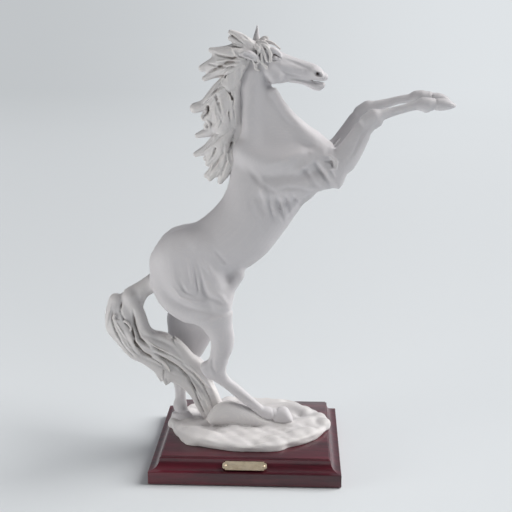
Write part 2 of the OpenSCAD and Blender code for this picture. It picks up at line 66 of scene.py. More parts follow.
# ---- section tables of the figure, in millimetres above the plinth --------------
# Each row: front or upper edge x, z, rear or lower edge x, z, half width, y
TORSO = [
    (-105, 175, -101, 160, 9, 0), (-103, 189, -88, 152, 24, 0),
    (-96, 201, -70, 149, 31, 0), (-86, 212, -52, 154, 34, 0),
    (-74, 222, -36, 163, 35, 0), (-60, 230, -20, 172, 34, 0),
    (-48, 238, -5, 181, 33, 0), (-37, 248, 9, 190, 33, 0),
    (-28, 259, 21, 201, 33, 0), (-22, 273, 31, 214, 33, 0),
    (-19, 287, 41, 228, 32, 0), (-15, 300, 51, 243, 31, 0),
    (-11, 312, 60, 256, 29, 0), (-6, 322, 70, 267, 26, 0),
    (6, 330, 80, 280, 24, 0), (26, 336, 86, 297, 20, 0),
    (52, 336, 84, 314, 14, 0)]
NECK = [
    (-13, 300, 86, 304, 23, 0), (-11, 314, 83, 316, 22, 0),
    (-10, 325, 76, 326, 20, 0), (-10, 334, 64, 335, 18, 0),
    (-11, 345, 52, 344, 16.5, 0), (-13, 358, 38, 356, 15, 0),
    (-15, 371, 28, 368, 13.5, 0), (-13, 386, 22, 380, 12.5, 0),
    (-7, 400, 25, 388, 12, 0), (2, 412, 32, 396, 11, 0)]
HEAD = [
    (1, 410, 13, 385, 10, 0), (9, 417, 19, 381, 12, 0),
    (17, 418, 25, 379, 12.5, 0), (26, 415, 31, 379, 12.5, 0),
    (35, 410.5, 38, 380, 11, 0), (45, 406.5, 46, 382, 9.2, 0),
    (54, 403.5, 54, 382, 8, 0), (62, 401, 61, 381, 7.6, 0),
    (69, 398.5, 67, 381, 8, 0), (75, 394, 72, 380.5, 7.6, 0),
    (80, 388, 77, 381, 5, 0)]
LOWER_JAW = [
    (40, 386, 42, 380, 6, 0), (52, 384, 52, 379, 5, 0), (62, 382, 61, 376, 4.6, 0),
    (70, 380, 68, 373, 5, 0), (75, 378.5, 73, 372.5, 4.4, 0), (78, 378.5, 77, 375, 2.5, 0)]
RIGHT_FORELEG = [
    (85, 314, 94, 274, 12, -24), (90, 311, 102, 288, 11.5, -25),
    (97, 313, 110, 301, 10, -25), (103, 318, 115, 311, 8.5, -25),
    (110, 328, 119, 320, 7.5, -25), (115, 339, 125, 329, 7.2, -24),
    (119, 348, 131, 337, 7.6, -24), (126, 353, 136, 341, 7.6, -23),
    (135, 355, 139, 344, 6.6, -22), (146, 357, 149, 348, 4.9, -21),
    (158, 360, 160, 351.5, 4.5, -21), (170, 364, 172, 354, 5, -20),
    (180, 366, 181, 353, 6, -20), (187, 364, 188, 357, 5, -19)]
LEFT_FORELEG = [
    (80, 314, 92, 276, 12, 24), (87, 316, 100, 292, 11.5, 25),
    (96, 322, 108, 307, 10, 25), (102, 332, 113, 320, 8.5, 25),
    (108, 343, 119, 331, 7.5, 25), (114, 351, 125, 338, 7.3, 25),
    (119, 356, 131, 343, 7.6, 24), (126, 359, 136, 347, 7.5, 24),
    (136, 361, 139, 350, 6.6, 23), (146, 363, 149, 354, 4.9, 22),
    (158, 366, 160, 357.5, 4.5, 21), (170, 368, 172, 358, 5, 21),
    (180, 370, 181, 357, 6, 20), (187, 367, 188, 360, 5, 20)]
RIGHT_HIND_LEG = [
    (-16, 140, -56, 130, 13, -25), (-16, 126, -46, 118, 10.5, -24),
    (-14, 112, -40, 108, 9.5, -24), (-16, 98, -40, 96, 8.6, -24),
    (-20, 88, -42, 87, 7.6, -23), (-23, 80, -47, 81, 7.2, -22),
    (-23, 71, -51, 74, 7, -21), (-19, 63, -42, 64, 6.8, -19),
    (-12, 57, -26, 52, 6.2, -17), (-4, 49, -13, 40, 5.4, -15),
    (5, 40, -3, 31, 5.0, -13), (14, 31, 6, 23, 5.2, -11),
    (22, 25, 13, 15, 6.4, -9), (29, 23, 22, 13, 5.6, -8)]
LEFT_HIND_LEG = [
    (-24, 150, -80, 150, 16, 24), (-28, 130, -92, 124, 14.5, 25),
    (-34, 112, -92, 104, 12, 24), (-43, 95, -91, 86, 9.5, 22),
    (-52, 79, -92, 72, 8, 20), (-62, 66, -90, 60, 7.5, 17),
    (-69, 54, -87, 50, 6.5, 15), (-71, 42, -84, 40, 5.4, 13),
    (-71, 30, -83, 30, 5.2, 10), (-70, 21, -85, 22, 6.2, 7),
    (-68, 16, -83, 15, 5.8, 5)]
# Hooves: top edge and lower edge of each section from the coronet to the toe
HOOVES = {
    "right_fore": [(190, 366, 189, 354, 6.6, -19), (199, 366, 197, 353.4, 7.6, -18.5),
                   (206, 363.4, 205, 355, 7.4, -18), (211, 360, 210.6, 357, 4.4, -18)],
    "left_fore": [(190, 369, 189, 357, 6.6, 20), (199, 369, 197, 356.4, 7.6, 20),
                  (206, 366.4, 205, 358, 7.4, 20), (210, 363, 209.6, 360, 4.4, 20)],
    "right_hind": [(33, 26, 27, 9, 7, -7), (39, 27, 36, 7.6, 8, -6.5),
                   (44, 24, 43, 7.6, 8, -6), (49, 14, 49, 7.6, 5.5, -6)],
    "left_hind": [(-67, 16, -86, 14, 6.6, 4), (-63, 11, -87, 10, 7.8, 4),
                  (-60, 7, -87, 7, 8.4, 4), (-59, 3, -87, 3, 8.6, 4)],
}
TAIL = [
    (-98, 177, -96, 158, 8, 0), (-108, 173, -106, 153, 8.5, 0),
    (-120, 165, -112, 148, 9.5, -1), (-134, 157, -115, 141, 10, -2),
    (-146, 144, -116, 132, 11, -4), (-154, 128, -115, 125, 11, -6),
    (-155, 113, -110, 117, 11, -8), (-144, 99, -102, 110, 11, -9),
    (-132, 86, -92, 108, 11, -9), (-119, 79, -81, 103, 10, -8),
    (-106, 69, -71, 94, 9, -7), (-93, 59, -62, 83, 8.5, -5),
    (-78, 52, -51, 75, 8, -3), (-64, 38, -43, 60, 7, 0),
    (-57, 24, -37, 42, 6, 3), (-50, 10, -31, 25, 5, 7)]

FAR = 20.0
# How far from a shape its distances are kept, so that a later fillet finds them
REACH = 8.0


# ---- curves -----------------------------------------------------------------------
def smooth_rows(rows, steps):
    """Catmull-Rom curve through the rows, steps to a span."""
    rows = np.array(rows, float)
    padded = np.vstack([rows[:1], rows, rows[-1:]])
    out = []
    for a, b, c, d in zip(padded, padded[1:], padded[2:], padded[3:]):
        for t in np.arange(steps) / steps:
            out.append(0.5 * (2 * b + (c - a) * t + (2 * a - 5 * b + 4 * c - d) * t * t
                              + (3 * b - a - 3 * c + d) * t ** 3))
    out.append(rows[-1])
    return np.array(out)


def two_balls(points):
    """A chain of one ball gets a second beside it, so that it has a length."""
    if len(points) == 1:
        points = np.vstack([points, points + [1e-3, 0, 0, 0]])
    return points


# ---- modelling clay ---------------------------------------------------------------
class Clay:
    """A grid of distances to the surface, in millimetres, negative inside.

    Muscles and hair run into each other without an edge, which no modelling
    operator gives, so masses are pressed together here and skinned at the end.
    """

    def __init__(self, low, high, cell):
        self.low = np.array(low, float)
        self.cell = cell
        size = np.ceil((np.array(high, float) - self.low) / cell) + 1
        self.size = size.astype(int)
        self.field = np.full(self.size, FAR, np.float32)

    def window(self, low, high):
        """The part of the grid between two corners, and its coordinates."""
        first = np.floor((np.array(low, float) - self.low) / self.cell)
        last = np.ceil((np.array(high, float) - self.low) / self.cell) + 1
        first = np.clip(first, 0, self.size).astype(int)
        last = np.clip(last, 0, self.size).astype(int)
        if (last <= first).any():
            return None, None
        axes = [self.low[i] + self.cell * np.arange(first[i], last[i], dtype=np.float32)
                for i in range(3)]
        where = tuple(slice(first[i], last[i]) for i in range(3))
        return where, np.ix_(*[a.astype(np.float32) for a in axes])

    def press(self, where, shape, blend):
        """Joins a shape to the clay with a fillet as wide as blend."""
        old = self.field[where]
        if blend <= 0:
            self.field[where] = np.minimum(old, shape)
            return
        mix = np.clip(0.5 + 0.5 * (old - shape) / blend, 0, 1)
        self.field[where] = old + (shape - old) * mix - blend * mix * (1 - mix)

    def cast(self, bm, blend=0):
        """Presses a closed mesh, drawn in millimetres, into the clay."""
        bm.verts.ensure_lookup_table()
        bmesh.ops.triangulate(bm, faces=bm.faces)
        points = np.array([v.co for v in bm.verts], np.float32)
        corners = np.array([[v.index for v in f.verts] for f in bm.faces], np.uint32)
        reach = max(blend, REACH) + 3 * self.cell
        where, _ = self.window(points.min(0) - reach, points.max(0) + reach)
        bm.free()
        if where is None:
            return
        cells = (points - self.low.astype(np.float32)) / np.float32(self.cell)
        band = float(math.ceil(reach / self.cell) + 2)
        level = vdb.FloatGrid.createLevelSetFromPolygons(
            cells, triangles=corners, halfWidth=band)
        shape = np.zeros([s.stop - s.start for s in where], np.float32)
        level.copyToArray(shape, ijk=tuple(s.start for s in where))
        self.press(where, shape * self.cell, blend)

    def chain(self, points, grids, flat=1.0):
        """Distance to a chain of balls, each x, y, z, radius."""
        x, y, z = grids
        shape = None
        squash = np.array([1, flat, 1])
        for a, b in zip(points, points[1:]):
            step = (b[:3] - a[:3]) * squash
            dx, dy, dz = x - a[0], (y - a[1]) * flat, z - a[2]
            along = (dx * step[0] + dy * step[1] + dz * step[2]) / max(step @ step, 1e-6)
            along = np.clip(along, 0, 1)
            gap = np.sqrt((dx - along * step[0]) ** 2 + (dy - along * step[1]) ** 2
                          + (dz - along * step[2]) ** 2)
            gap -= a[3] + along * (b[3] - a[3])
            shape = gap if shape is None else np.minimum(shape, gap)
        return shape

    def mass(self, points, blend=4, flat=1.0):
        """Presses a rounded mass on, through balls of x, y, z, radius."""
        points = np.array(points, float)
        if len(points) > 2:
            points = smooth_rows(points, 4)
        points = two_balls(points)
        reach = points[:, 3:] / min(flat, 1) + max(blend, REACH) + 2 * self.cell
        where, grids = self.window((points[:, :3] - reach).min(0),
                                   (points[:, :3] + reach).max(0))
        if where is not None:
            self.press(where, self.chain(points, grids, flat), blend)

    def pair(self, points, blend=4, flat=1.0):
        """The same mass on the right and on the left."""
        points = np.array(points, float)
        for side in (-1, 1):
            self.mass(points * [1, side, 1, 1], blend, flat)

    def dig(self, points, depth):
        """A hollow round a chain of balls; a negative depth raises a welt."""
        points = two_balls(np.array(points, float))
        reach = points[:, 3:] + self.cell
        where, grids = self.window((points[:, :3] - reach).min(0),
                                   (points[:, :3] + reach).max(0))
        if where is None:
            return
        widths = points.copy()
        widths[:, 3] = 0
        gap = self.chain(widths, grids)
        fall = np.clip(1 - (gap / points[:, 3].mean()) ** 2, 0, 1) ** 2
        self.field[where] += (depth * fall).astype(np.float32)

    def bore(self, points):
        """Cuts a clean round-ended hole through balls of x, y, z, radius."""
        points = np.array(points, float)
        reach = points[:, 3:] + 2 * self.cell
        where, grids = self.window((points[:, :3] - reach).min(0),
                                   (points[:, :3] + reach).max(0))
        if where is not None:
            self.field[where] = np.maximum(self.field[where],
                                           -self.chain(points, grids)).astype(np.float32)

    def stroke(self, points, side, inner=3.0):
        """A groove drawn on one flank, each point x, z, half width, depth.

        It is drawn square on to the flank; a negative depth raises a ridge.
        """
        points = np.array(points, float)
        widest = points[:, 2].max() + self.cell
        low = [points[:, 0].min() - widest, -60, points[:, 1].min() - widest]
        high = [points[:, 0].max() + widest, 60, points[:, 1].max() + widest]
        where, grids = self.window(low, high)
        if where is None:
            return
        x, y, z = grids
        best = np.zeros((x.shape[0], 1, z.shape[2]), np.float32)
        for a, b in zip(points, points[1:]):
            step = b[:2] - a[:2]
            along = ((x - a[0]) * step[0] + (z - a[1]) * step[1]) / max(step @ step, 1e-6)
            along = np.clip(along, 0, 1)
            gap = np.hypot(x - a[0] - along * step[0], z - a[1] - along * step[1])
            width = a[2] + along * (b[2] - a[2])
            deep = a[3] + along * (b[3] - a[3])
            fall = deep * np.clip(1 - (gap / width) ** 2, 0, 1) ** 2
            best = np.where(np.abs(fall) > np.abs(best), fall, best)
        fade = np.clip((y * side - inner) / 3.0, 0, 1)
        self.field[where] += (best * fade).astype(np.float32)

    def both_strokes(self, points):
        """The same groove on both flanks."""
        for side in (-1, 1):
            self.stroke(points, side)

    def skin(self, smoothing=1):
        """Turns the clay into a mesh of quads, still in millimetres."""
        grid = vdb.FloatGrid(FAR)
        grid.copyFromArray(self.field)
        points, quads = grid.convertToQuads(0.0)
        points = points * self.cell + self.low
        mesh = bpy.data.meshes.new("clay")
        mesh.vertices.add(len(points))
        mesh.vertices.foreach_set("co", points.astype(np.float32).ravel())
        quads = quads.astype(np.int32)
        mesh.loops.add(len(quads) * 4)
        mesh.loops.foreach_set("vertex_index", quads.ravel())
        mesh.polygons.add(len(quads))
        mesh.polygons.foreach_set("loop_start", np.arange(0, len(quads) * 4, 4))
        mesh.update(calc_edges=True)
        bm = bmesh.new()
        bm.from_mesh(mesh)
        bpy.data.meshes.remove(mesh)
        for _ in range(smoothing):
            bmesh.ops.smooth_vert(bm, verts=bm.verts, factor=0.5, use_axis_x=True,
                                  use_axis_y=True, use_axis_z=True)
        return bm


def loft(rows, steps=4, sides=40):
    """Closed skin through the section rows, in millimetres."""
    bm = bmesh.new()
    rings = []
    for row in smooth_rows(rows, steps):
        up = Vector(((row[0] - row[2]) / 2, 0, (row[1] - row[3]) / 2))
        middle = Vector(((row[0] + row[2]) / 2, row[5], (row[1] + row[3]) / 2))
        side = Vector((0, max(row[4], 0.05), 0))
        across = up.normalized().cross(side.normalized())
        place = Matrix((up, side, across)).transposed().to_4x4()
        place.translation = middle
        made = bmesh.ops.create_circle(bm, cap_ends=False, segments=sides, radius=1,
                                       matrix=place)
        rings.append(list({e for v in made["verts"] for e in v.link_edges}))
    for one, two in zip(rings, rings[1:]):
        bmesh.ops.bridge_loops(bm, edges=one + two)
    bmesh.ops.holes_fill(bm, edges=rings[0] + rings[-1], sides=0)
    bmesh.ops.recalc_face_normals(bm, faces=bm.faces)
    return bm


# ---- the horse --------------------------------------------------------------------
def torso_clay(clay):
    """Barrel, quarters and chest, with the muscles that show."""
    clay.cast(loft(TORSO), 0)
    # quarters
    clay.pair([(-92, 12, 194, 13), (-74, 15, 204, 21), (-52, 17, 207, 18)], 10)
    clay.pair([(-57, 23, 213, 7)], 9)
    clay.pair([(-75, 16, 194, 21), (-67, 19, 170, 20), (-52, 21, 150, 15),
               (-42, 22, 139, 13)], 8)
    clay.pair([(-92, 11, 184, 12), (-92, 14, 167, 12), (-81, 17, 150, 13),
               (-64, 19, 138, 12)], 6)
    clay.pair([(-54, 20, 196, 14), (-40, 22, 172, 15), (-30, 23, 150, 12)], 7)
    clay.pair([(-28, 24, 148, 10), (-28, 25, 136, 9)], 6)
    clay.pair([(-84, 15, 152, 10), (-68, 22, 141, 10), (-52, 26, 136, 10),
               (-38, 26, 134, 9)], 5)
    clay.pair([(-10, 16, 178, 6), (-22, 21, 160, 6)], 9)
    # shoulder, upper arm and breast
    clay.pair([(-4, 14, 310, 11), (22, 19, 300, 14), (52, 21, 300, 15),
               (74, 21, 304, 12)], 9)
    clay.pair([(18, 20, 272, 12), (46, 23, 276, 14), (74, 24, 283, 12),
               (90, 24, 282, 8)], 6)
    clay.pair([(76, 20, 306, 12), (88, 24, 296, 12)], 6)
    clay.pair([(66, 8, 314, 13), (80, 9, 310, 10)], 6)
    clay.mass([(58, 0, 270, 12), (76, 0, 286, 10)], 8)
    clay.mass([(-8, 0, 316, 9), (-17, 0, 297, 7)], 10)
    clay.mass([(-14, 0, 178, 4), (-20, 0, 172, 3.4)], 5)


def neck_clay(clay):
    """Neck, crest and the long muscles along it."""
    clay.cast(loft(NECK), 8)
    clay.mass([(-9, 0, 330, 6), (-9, 0, 350, 6), (-12, 0, 372, 5), (-6, 0, 396, 5)], 6)
    clay.pair([(70, 13, 316, 7), (54, 12, 332, 6), (38, 10, 350, 5), (26, 9, 370, 4)], 8)
    clay.pair([(4, 13, 318, 9), (3, 11, 342, 8), (4, 9, 366, 7), (8, 8, 388, 6)], 8)


def head_clay(clay):
    """Skull, cheeks, eyes, nostrils, lips and ears."""
    clay.cast(loft(HEAD), 4)
    clay.cast(loft(LOWER_JAW), 1.5)
    clay.pair([(23, 8.5, 392, 7.5), (29, 8, 388, 7), (26, 8, 386, 7)], 3, 1.1)
    clay.pair([(33, 9.4, 398, 2.2), (44, 7.6, 395, 1.8), (54, 6.4, 393, 1.2)], 3)
    clay.pair([(18, 9, 412, 3), (25, 9.6, 413, 3), (31, 8.4, 409.5, 2.2)], 3)
    clay.pair([(22, 9, 402.6, 1.8), (28, 9.4, 401.6, 1.8)], 2)
    clay.pair([(66, 5.6, 391, 3.6), (72, 5.4, 388.5, 4)], 3)
    clay.mass([(73, 0, 386, 5.5), (78, 0, 385.5, 3.6)], 3)
    clay.mass([(50, 0, 383.5, 3.4), (64, 0, 382, 2.6)], 2)
    clay.mass([(66, 0, 377.5, 3.4), (72, 0, 375.6, 2.8), (76, 0, 377.6, 2.2)], 3)
    for side in (-1, 1):
        clay.dig([(27, side * 12, 405.4, 5)], 2.6)
        clay.mass([(27, side * 9, 405.4, 2.9)], 0.4)
        clay.stroke([(21.5, 406.5, 1, 0.2), (26, 409, 1.1, 1.2), (31.6, 406, 1.1, 1.0),
                     (34, 403, 0.9, 0.1)], side)
        clay.stroke([(22, 405, 0.9, 0.1), (26, 401.9, 1, 1), (32, 402.6, 0.9, 0.4)], side)
        clay.dig([(70.4, side * 9.4, 389, 5), (74.4, side * 8.4, 388.2, 4.6)], -1.2)
        clay.bore([(70, side * 9.6, 389.5, 2.4), (73.2, side * 9.0, 388.6, 2.2)])
        clay.bore([(71.6, side * 8.6, 389, 2.1), (70, side * 4.6, 389.4, 1.6)])
        clay.stroke([(60, 383.4, 0.9, 0.3), (67, 382.3, 1, 1.1), (76, 381.4, 1, 1.6),
                     (84, 381, 1.1, 1.8)], side, -3.5)
        clay.stroke([(15, 392, 2.5, 0.1), (17, 384, 2.6, 0.9), (22, 379, 2, 0.4)], side)
        clay.stroke([(34, 391, 2.2, 0.2), (44, 388, 2.4, 0.9), (58, 386, 2, 0.3)], side)
        clay.stroke([(36, 404, 2.4, 0.1), (47, 400, 2.6, 0.8), (60, 395, 2, 0.3)], side)
    ears_clay(clay)


def ears_clay(clay):
    """The left ear pricked, the right ear laid back."""
    clay.mass([(7, 8, 416, 4.4), (7.4, 8.4, 424, 3.8), (7.8, 9, 431, 2.2),
               (8, 9, 437.4, 0.6)], 1.5)
    clay.dig([(10.6, 9.4, 421, 2.2), (10, 9.6, 430, 2.2)], 1.8)
    clay.mass([(10, -11, 404, 3.2), (6, -13.4, 406, 4), (1, -15.2, 408.4, 4.6),
               (-4, -16.2, 409.4, 3.2), (-8.4, -16.2, 408.6, 1.0)], 1.2, 1.15)
    clay.dig([(5, -18.0, 405.6, 2.8), (0.6, -19.4, 408, 3.2), (-3, -19.4, 408.8, 2.2)], 6)


def leg_clay(clay, rows, hoof, balls):
    """One limb: its long section table, its joints and tendons, and its hoof."""
    clay.cast(loft(rows), 5)
    for points, blend in balls:
        clay.mass(points, blend)
    clay.cast(loft(hoof, 3), 0.8)


def fore_balls(y, dx, dz):
    """Forearm, knee and fetlock of a foreleg, shifted by dx and dz."""
    out = (y / abs(y))
    chains = [
        ([(95, y, 307, 8), (105, y + out, 322, 7), (113, y, 336, 5.2)], 5),
        ([(103, y, 299, 7.4), (112, y, 312, 6), (119, y, 326, 4.8)], 4),
        ([(120, y, 343, 7), (128, y, 348.5, 6.8)], 3),
        ([(130, y, 339, 3.4), (133, y, 341, 3.6)], 3),
        ([(178, y * 0.82, 360.5, 5.6), (182, y * 0.81, 359.5, 6)], 4),
        ([(184, y * 0.8, 360, 5.6), (192, y * 0.79, 360, 5.6)], 4),
        ([(181, y * 0.81, 355, 3)], 3)]
    return [([(x + dx, v, z + dz, r) for x, v, z, r in points], blend)
            for points, blend in chains]


RIGHT_HIND_BALLS = [
    ([(-30, -25, 128, 8), (-28, -25, 110, 6.6)], 3),
    ([(-28, -23, 84, 5.5), (-36, -22, 72, 6.5)], 4),
    ([(-46, -22, 78, 5), (-42, -20, 68, 5)], 3),
    ([(21, -9, 21, 6.4), (26, -8.5, 19, 6.2), (31, -7.5, 17.6, 6.4)], 4),
    ([(17, -9, 14.5, 3.4)], 3)]
LEFT_HIND_BALLS = [
    ([(-48, 25, 140, 10), (-56, 25, 118, 9)], 5),
    ([(-84, 22, 118, 6), (-85, 20, 96, 4.6), (-85, 18, 74, 4)], 4),
    ([(-76, 18, 66, 7), (-79, 16, 54, 6)], 4),
    ([(-77, 7, 22, 6.8)], 3)]


def near_dock(clay):
    """The root of the tail, where it leaves the quarters."""
    clay.cast(loft(TAIL[:4]), 7)


# Lines on both flanks: x, z, half width, depth; a negative depth is a ridge
FLANK_LINES = [
    # ribs and the saw-edged muscle over them
    [(21, 266, 2.6, 0.3), (23, 254, 2.8, 2.2), (27, 238, 2.6, 0.5)],
    [(31, 265, 2.6, 0.3), (33, 253, 2.8, 2.6), (37, 238, 2.6, 0.5)],
    [(39, 268, 2.6, 0.4), (41, 256, 2.8, 2.4), (44, 243, 2.6, 0.5)],
    [(46, 270, 2.4, 0.4), (49, 261, 2.6, 2.2), (54, 252, 2.4, 0.4)],
    [(27, 262, 2.6, -0.3), (29, 250, 2.8, -1.3), (32, 240, 2.4, -0.2)],
    [(36, 264, 2.6, -0.3), (37, 254, 2.8, -1.3), (40, 242, 2.4, -0.2)],
    [(2, 262, 5, 0.1), (8, 246, 5, 0.8), (18, 228, 4.4, 0.2)],
    [(10, 268, 5, 0.1), (15, 252, 5, 0.9), (22, 236, 4.4, 0.2)],
    [(13, 287, 5, -0.3), (17, 270, 5, -1.6), (24, 250, 4, -0.4)],
    # chest wall, breast and elbow
    [(38, 236, 3.6, 0.3), (48, 246, 4, 1.5), (58, 259, 4, 1.7), (70, 272, 3.6, 0.6)],
    [(0, 296, 5, 0.2), (8, 286, 5, 1.0), (16, 277, 4.4, 1.2), (28, 271, 4, 0.6)],
    [(28, 272, 3.6, 0.3), (42, 276, 4, 1.3), (58, 274, 4, 1.0), (74, 268, 3, 0.3)],
    [(46, 286, 3.6, -0.5), (56, 295, 4, -1.9), (67, 303, 3.6, -0.7)],
    [(54, 300, 4, 0.3), (60, 292, 5, 1.8), (68, 280, 4.4, 1.2), (78, 273, 3, 0.3)],
    [(72, 304, 4, -0.6), (82, 292, 4.6, -1.8), (91, 279, 3.8, -0.6)],
    [(64, 307, 3.6, 0.3), (73, 297, 3.8, 1.3), (82, 283, 3.4, 0.9), (87, 274, 2.6, 0.3)],
    [(34, 290, 4.4, 0.3), (48, 298, 4.6, 1.6), (62, 309, 4, 0.8)],
    [(20, 300, 5, -0.3), (36, 304, 5.4, -1.4), (54, 312, 5, -0.8)],
    [(30, 318, 6, 0.2), (46, 322, 6, 0.8), (60, 318, 5, 0.8), (74, 312, 4, 0.4)],
    [(77, 309, 1.8, -0.8), (84, 309, 2, -2.0), (91, 303, 2, -2.0), (90, 296, 2, -1.8),
     (84, 295, 1.8, -1.0)],
    [(80, 303, 2.2, 1.0), (86, 303, 2.2, 2.4), (87, 299, 2, 2.0)],
    # neck meets shoulder, and the shaded band down the neck
    [(-2, 372, 4, 0.1), (1, 357, 5, 0.4), (4, 340, 5, 0.3), (8, 324, 4, 0.1)],
    [(52, 330, 5, 0.2), (36, 346, 5, 0.9), (26, 364, 4.4, 0.6)],
    # quarters
    [(-62, 224, 6, -0.3), (-57, 217, 6, -1.5), (-52, 208, 5, -0.8)],
    [(-61, 200, 3.4, -0.5), (-58, 182, 3.8, -1.7), (-55, 165, 3.2, -0.6)],
    [(-53, 192, 2.6, -0.4), (-50, 176, 3, -1.3), (-49, 160, 2.6, -0.5)],
    [(-56, 192, 2, 0.2), (-54, 178, 2.4, 0.7), (-52, 164, 2, 0.2)],
    [(-54, 200, 3.6, 0.3), (-49, 180, 4.2, 1.3), (-45, 166, 4.8, 1.8), (-41, 160, 4.8, 1.7),
     (-28, 153, 4, 1.2), (-16, 146, 3, 0.4)],
    [(-49, 202, 4, -0.4), (-40, 189, 4.6, -2.0), (-31, 177, 4, -0.8)],
    [(-40, 214, 4.6, 0.2), (-32, 205, 4.6, 1.3), (-24, 196, 4.2, 1.2), (-16, 188, 3.6, 0.3)],
    [(-74, 200, 6, 0.2), (-70, 182, 6.4, 1.2), (-67, 168, 5.4, 0.6)],
    [(-80, 172, 2.6, -0.5), (-70, 159, 3, -2.0), (-58, 154, 3, -2.0), (-44, 153, 2.6, -0.7)],
    [(-72, 178, 3, 0.4), (-65, 165, 3.2, 1.8), (-54, 159, 2.6, 0.9)],
    [(-76, 154, 4, 0.2), (-62, 147, 4.4, 0.9), (-48, 144, 4, 0.9), (-34, 140, 3.6, 0.3)],
    [(-36, 166, 4, -0.3), (-26, 158, 4.4, -1.6), (-19, 146, 3.6, -0.6)],
]
LIMB_LINES = [
    # hock and tendon grooves of the hind legs
    [(-34, 104, 2.6, 0.2), (-37, 92, 2.6, 1.2), (-38, 80, 2.6, 1.3), (-32, 68, 2.2, 0.4)],
    [(-30, 62, 2, 0.2), (-16, 51, 2.2, 1.1), (-2, 39, 2.2, 1.1), (12, 27, 2, 0.4)],
    [(-82, 98, 2.6, 0.2), (-83, 84, 2.6, 1.2), (-82, 68, 2.4, 0.4)],
    [(-79, 52, 2.2, 0.2), (-79, 40, 2.2, 1.0), (-78, 30, 2, 0.3)],
    # forearms and fore cannons
    [(98, 300, 2.6, 0.2), (108, 312, 2.6, 1.5), (116, 330, 2.4, 1.1), (124, 340, 2, 0.3)],
    [(134, 346, 1.8, 0.2), (150, 351, 1.8, 1.0), (170, 357, 1.8, 0.5)],
    # coronets
    [(27, 25, 1.4, 0.7), (29, 18, 1.4, 0.9), (26, 11, 1.4, 0.6)],
    [(191, 369, 1.3, 0.8), (190.5, 360, 1.3, 0.9), (189, 353, 1.3, 0.6)],
]


def body_clay(cell):
    """The whole horse but its hair, at the chosen fineness."""
    clay = Clay((-140, -52, -2), (216, 52, 424), cell)
    torso_clay(clay)
    near_dock(clay)
    neck_clay(clay)
    head_clay(clay)
    leg_clay(clay, RIGHT_FORELEG, HOOVES["right_fore"], fore_balls(-24, 0, 0))
    leg_clay(clay, LEFT_FORELEG, HOOVES["left_fore"], fore_balls(25, -3, 5))
    leg_clay(clay, RIGHT_HIND_LEG, HOOVES["right_hind"], RIGHT_HIND_BALLS)
    leg_clay(clay, LEFT_HIND_LEG, HOOVES["left_hind"], LEFT_HIND_BALLS)
    for points in FLANK_LINES + LIMB_LINES:
        clay.both_strokes(points)
    return clay


# ---- hair -------------------------------------------------------------------------
def bezier(p, count):
    """Points along a cubic curve."""
    p = np.array(p, float)
    t = np.linspace(0, 1, count)[:, None]
    return ((1 - t) ** 3 * p[0] + 3 * (1 - t) ** 2 * t * p[1]
            + 3 * (1 - t) * t * t * p[2] + t ** 3 * p[3])


def strand(clay, points, radii, blend=0.6):
    """One hair strand, pressed in a ball's breadth at a time."""
    balls = np.hstack([points, np.array(radii)[:, None]])
    for a, b in zip(balls, balls[1:]):
        pair = np.array([a, b])
        reach = pair[:, 3:] + blend + 2 * clay.cell
        where, grids = clay.window((pair[:, :3] - reach).min(0),
                                   (pair[:, :3] + reach).max(0))
        if where is not None:
            clay.press(where, clay.chain(pair, grids), blend)


def lock(clay, curve, width, strands=4, turns=0.5, phase=0.0, body=0.35, tip=0.7):
    """A tapering lock of twisted strands along a cubic curve."""
    count = max(8, int(np.linalg.norm(np.diff(np.array(curve, float), axis=0),
                                      axis=1).sum() / 3))
    middle = bezier(curve, count)
    t = np.linspace(0, 1, count)
    ahead = np.gradient(middle, axis=0)
    ahead /= np.linalg.norm(ahead, axis=1, keepdims=True) + 1e-9
    side = np.cross(ahead, (0.0, 1.0, 0.0))
    side /= np.linalg.norm(side, axis=1, keepdims=True) + 1e-9
    level = np.cross(side, ahead)
    swell = np.minimum(1, 0.65 + 1.4 * t) * (1 - t ** 2.2) + 0.02
    for k in range(strands):
        turn = phase + 2 * math.pi * (k / strands + turns * t)
        off = width * 0.62 * swell[:, None] * (side * np.cos(turn)[:, None]
                                               + 0.8 * level * np.sin(turn)[:, None])
        strand(clay, middle + off, np.maximum(width * 0.5 * swell, tip))
    if body > 0:
        strand(clay, middle, np.maximum(width * (0.3 + body) * swell, tip), 0.8)


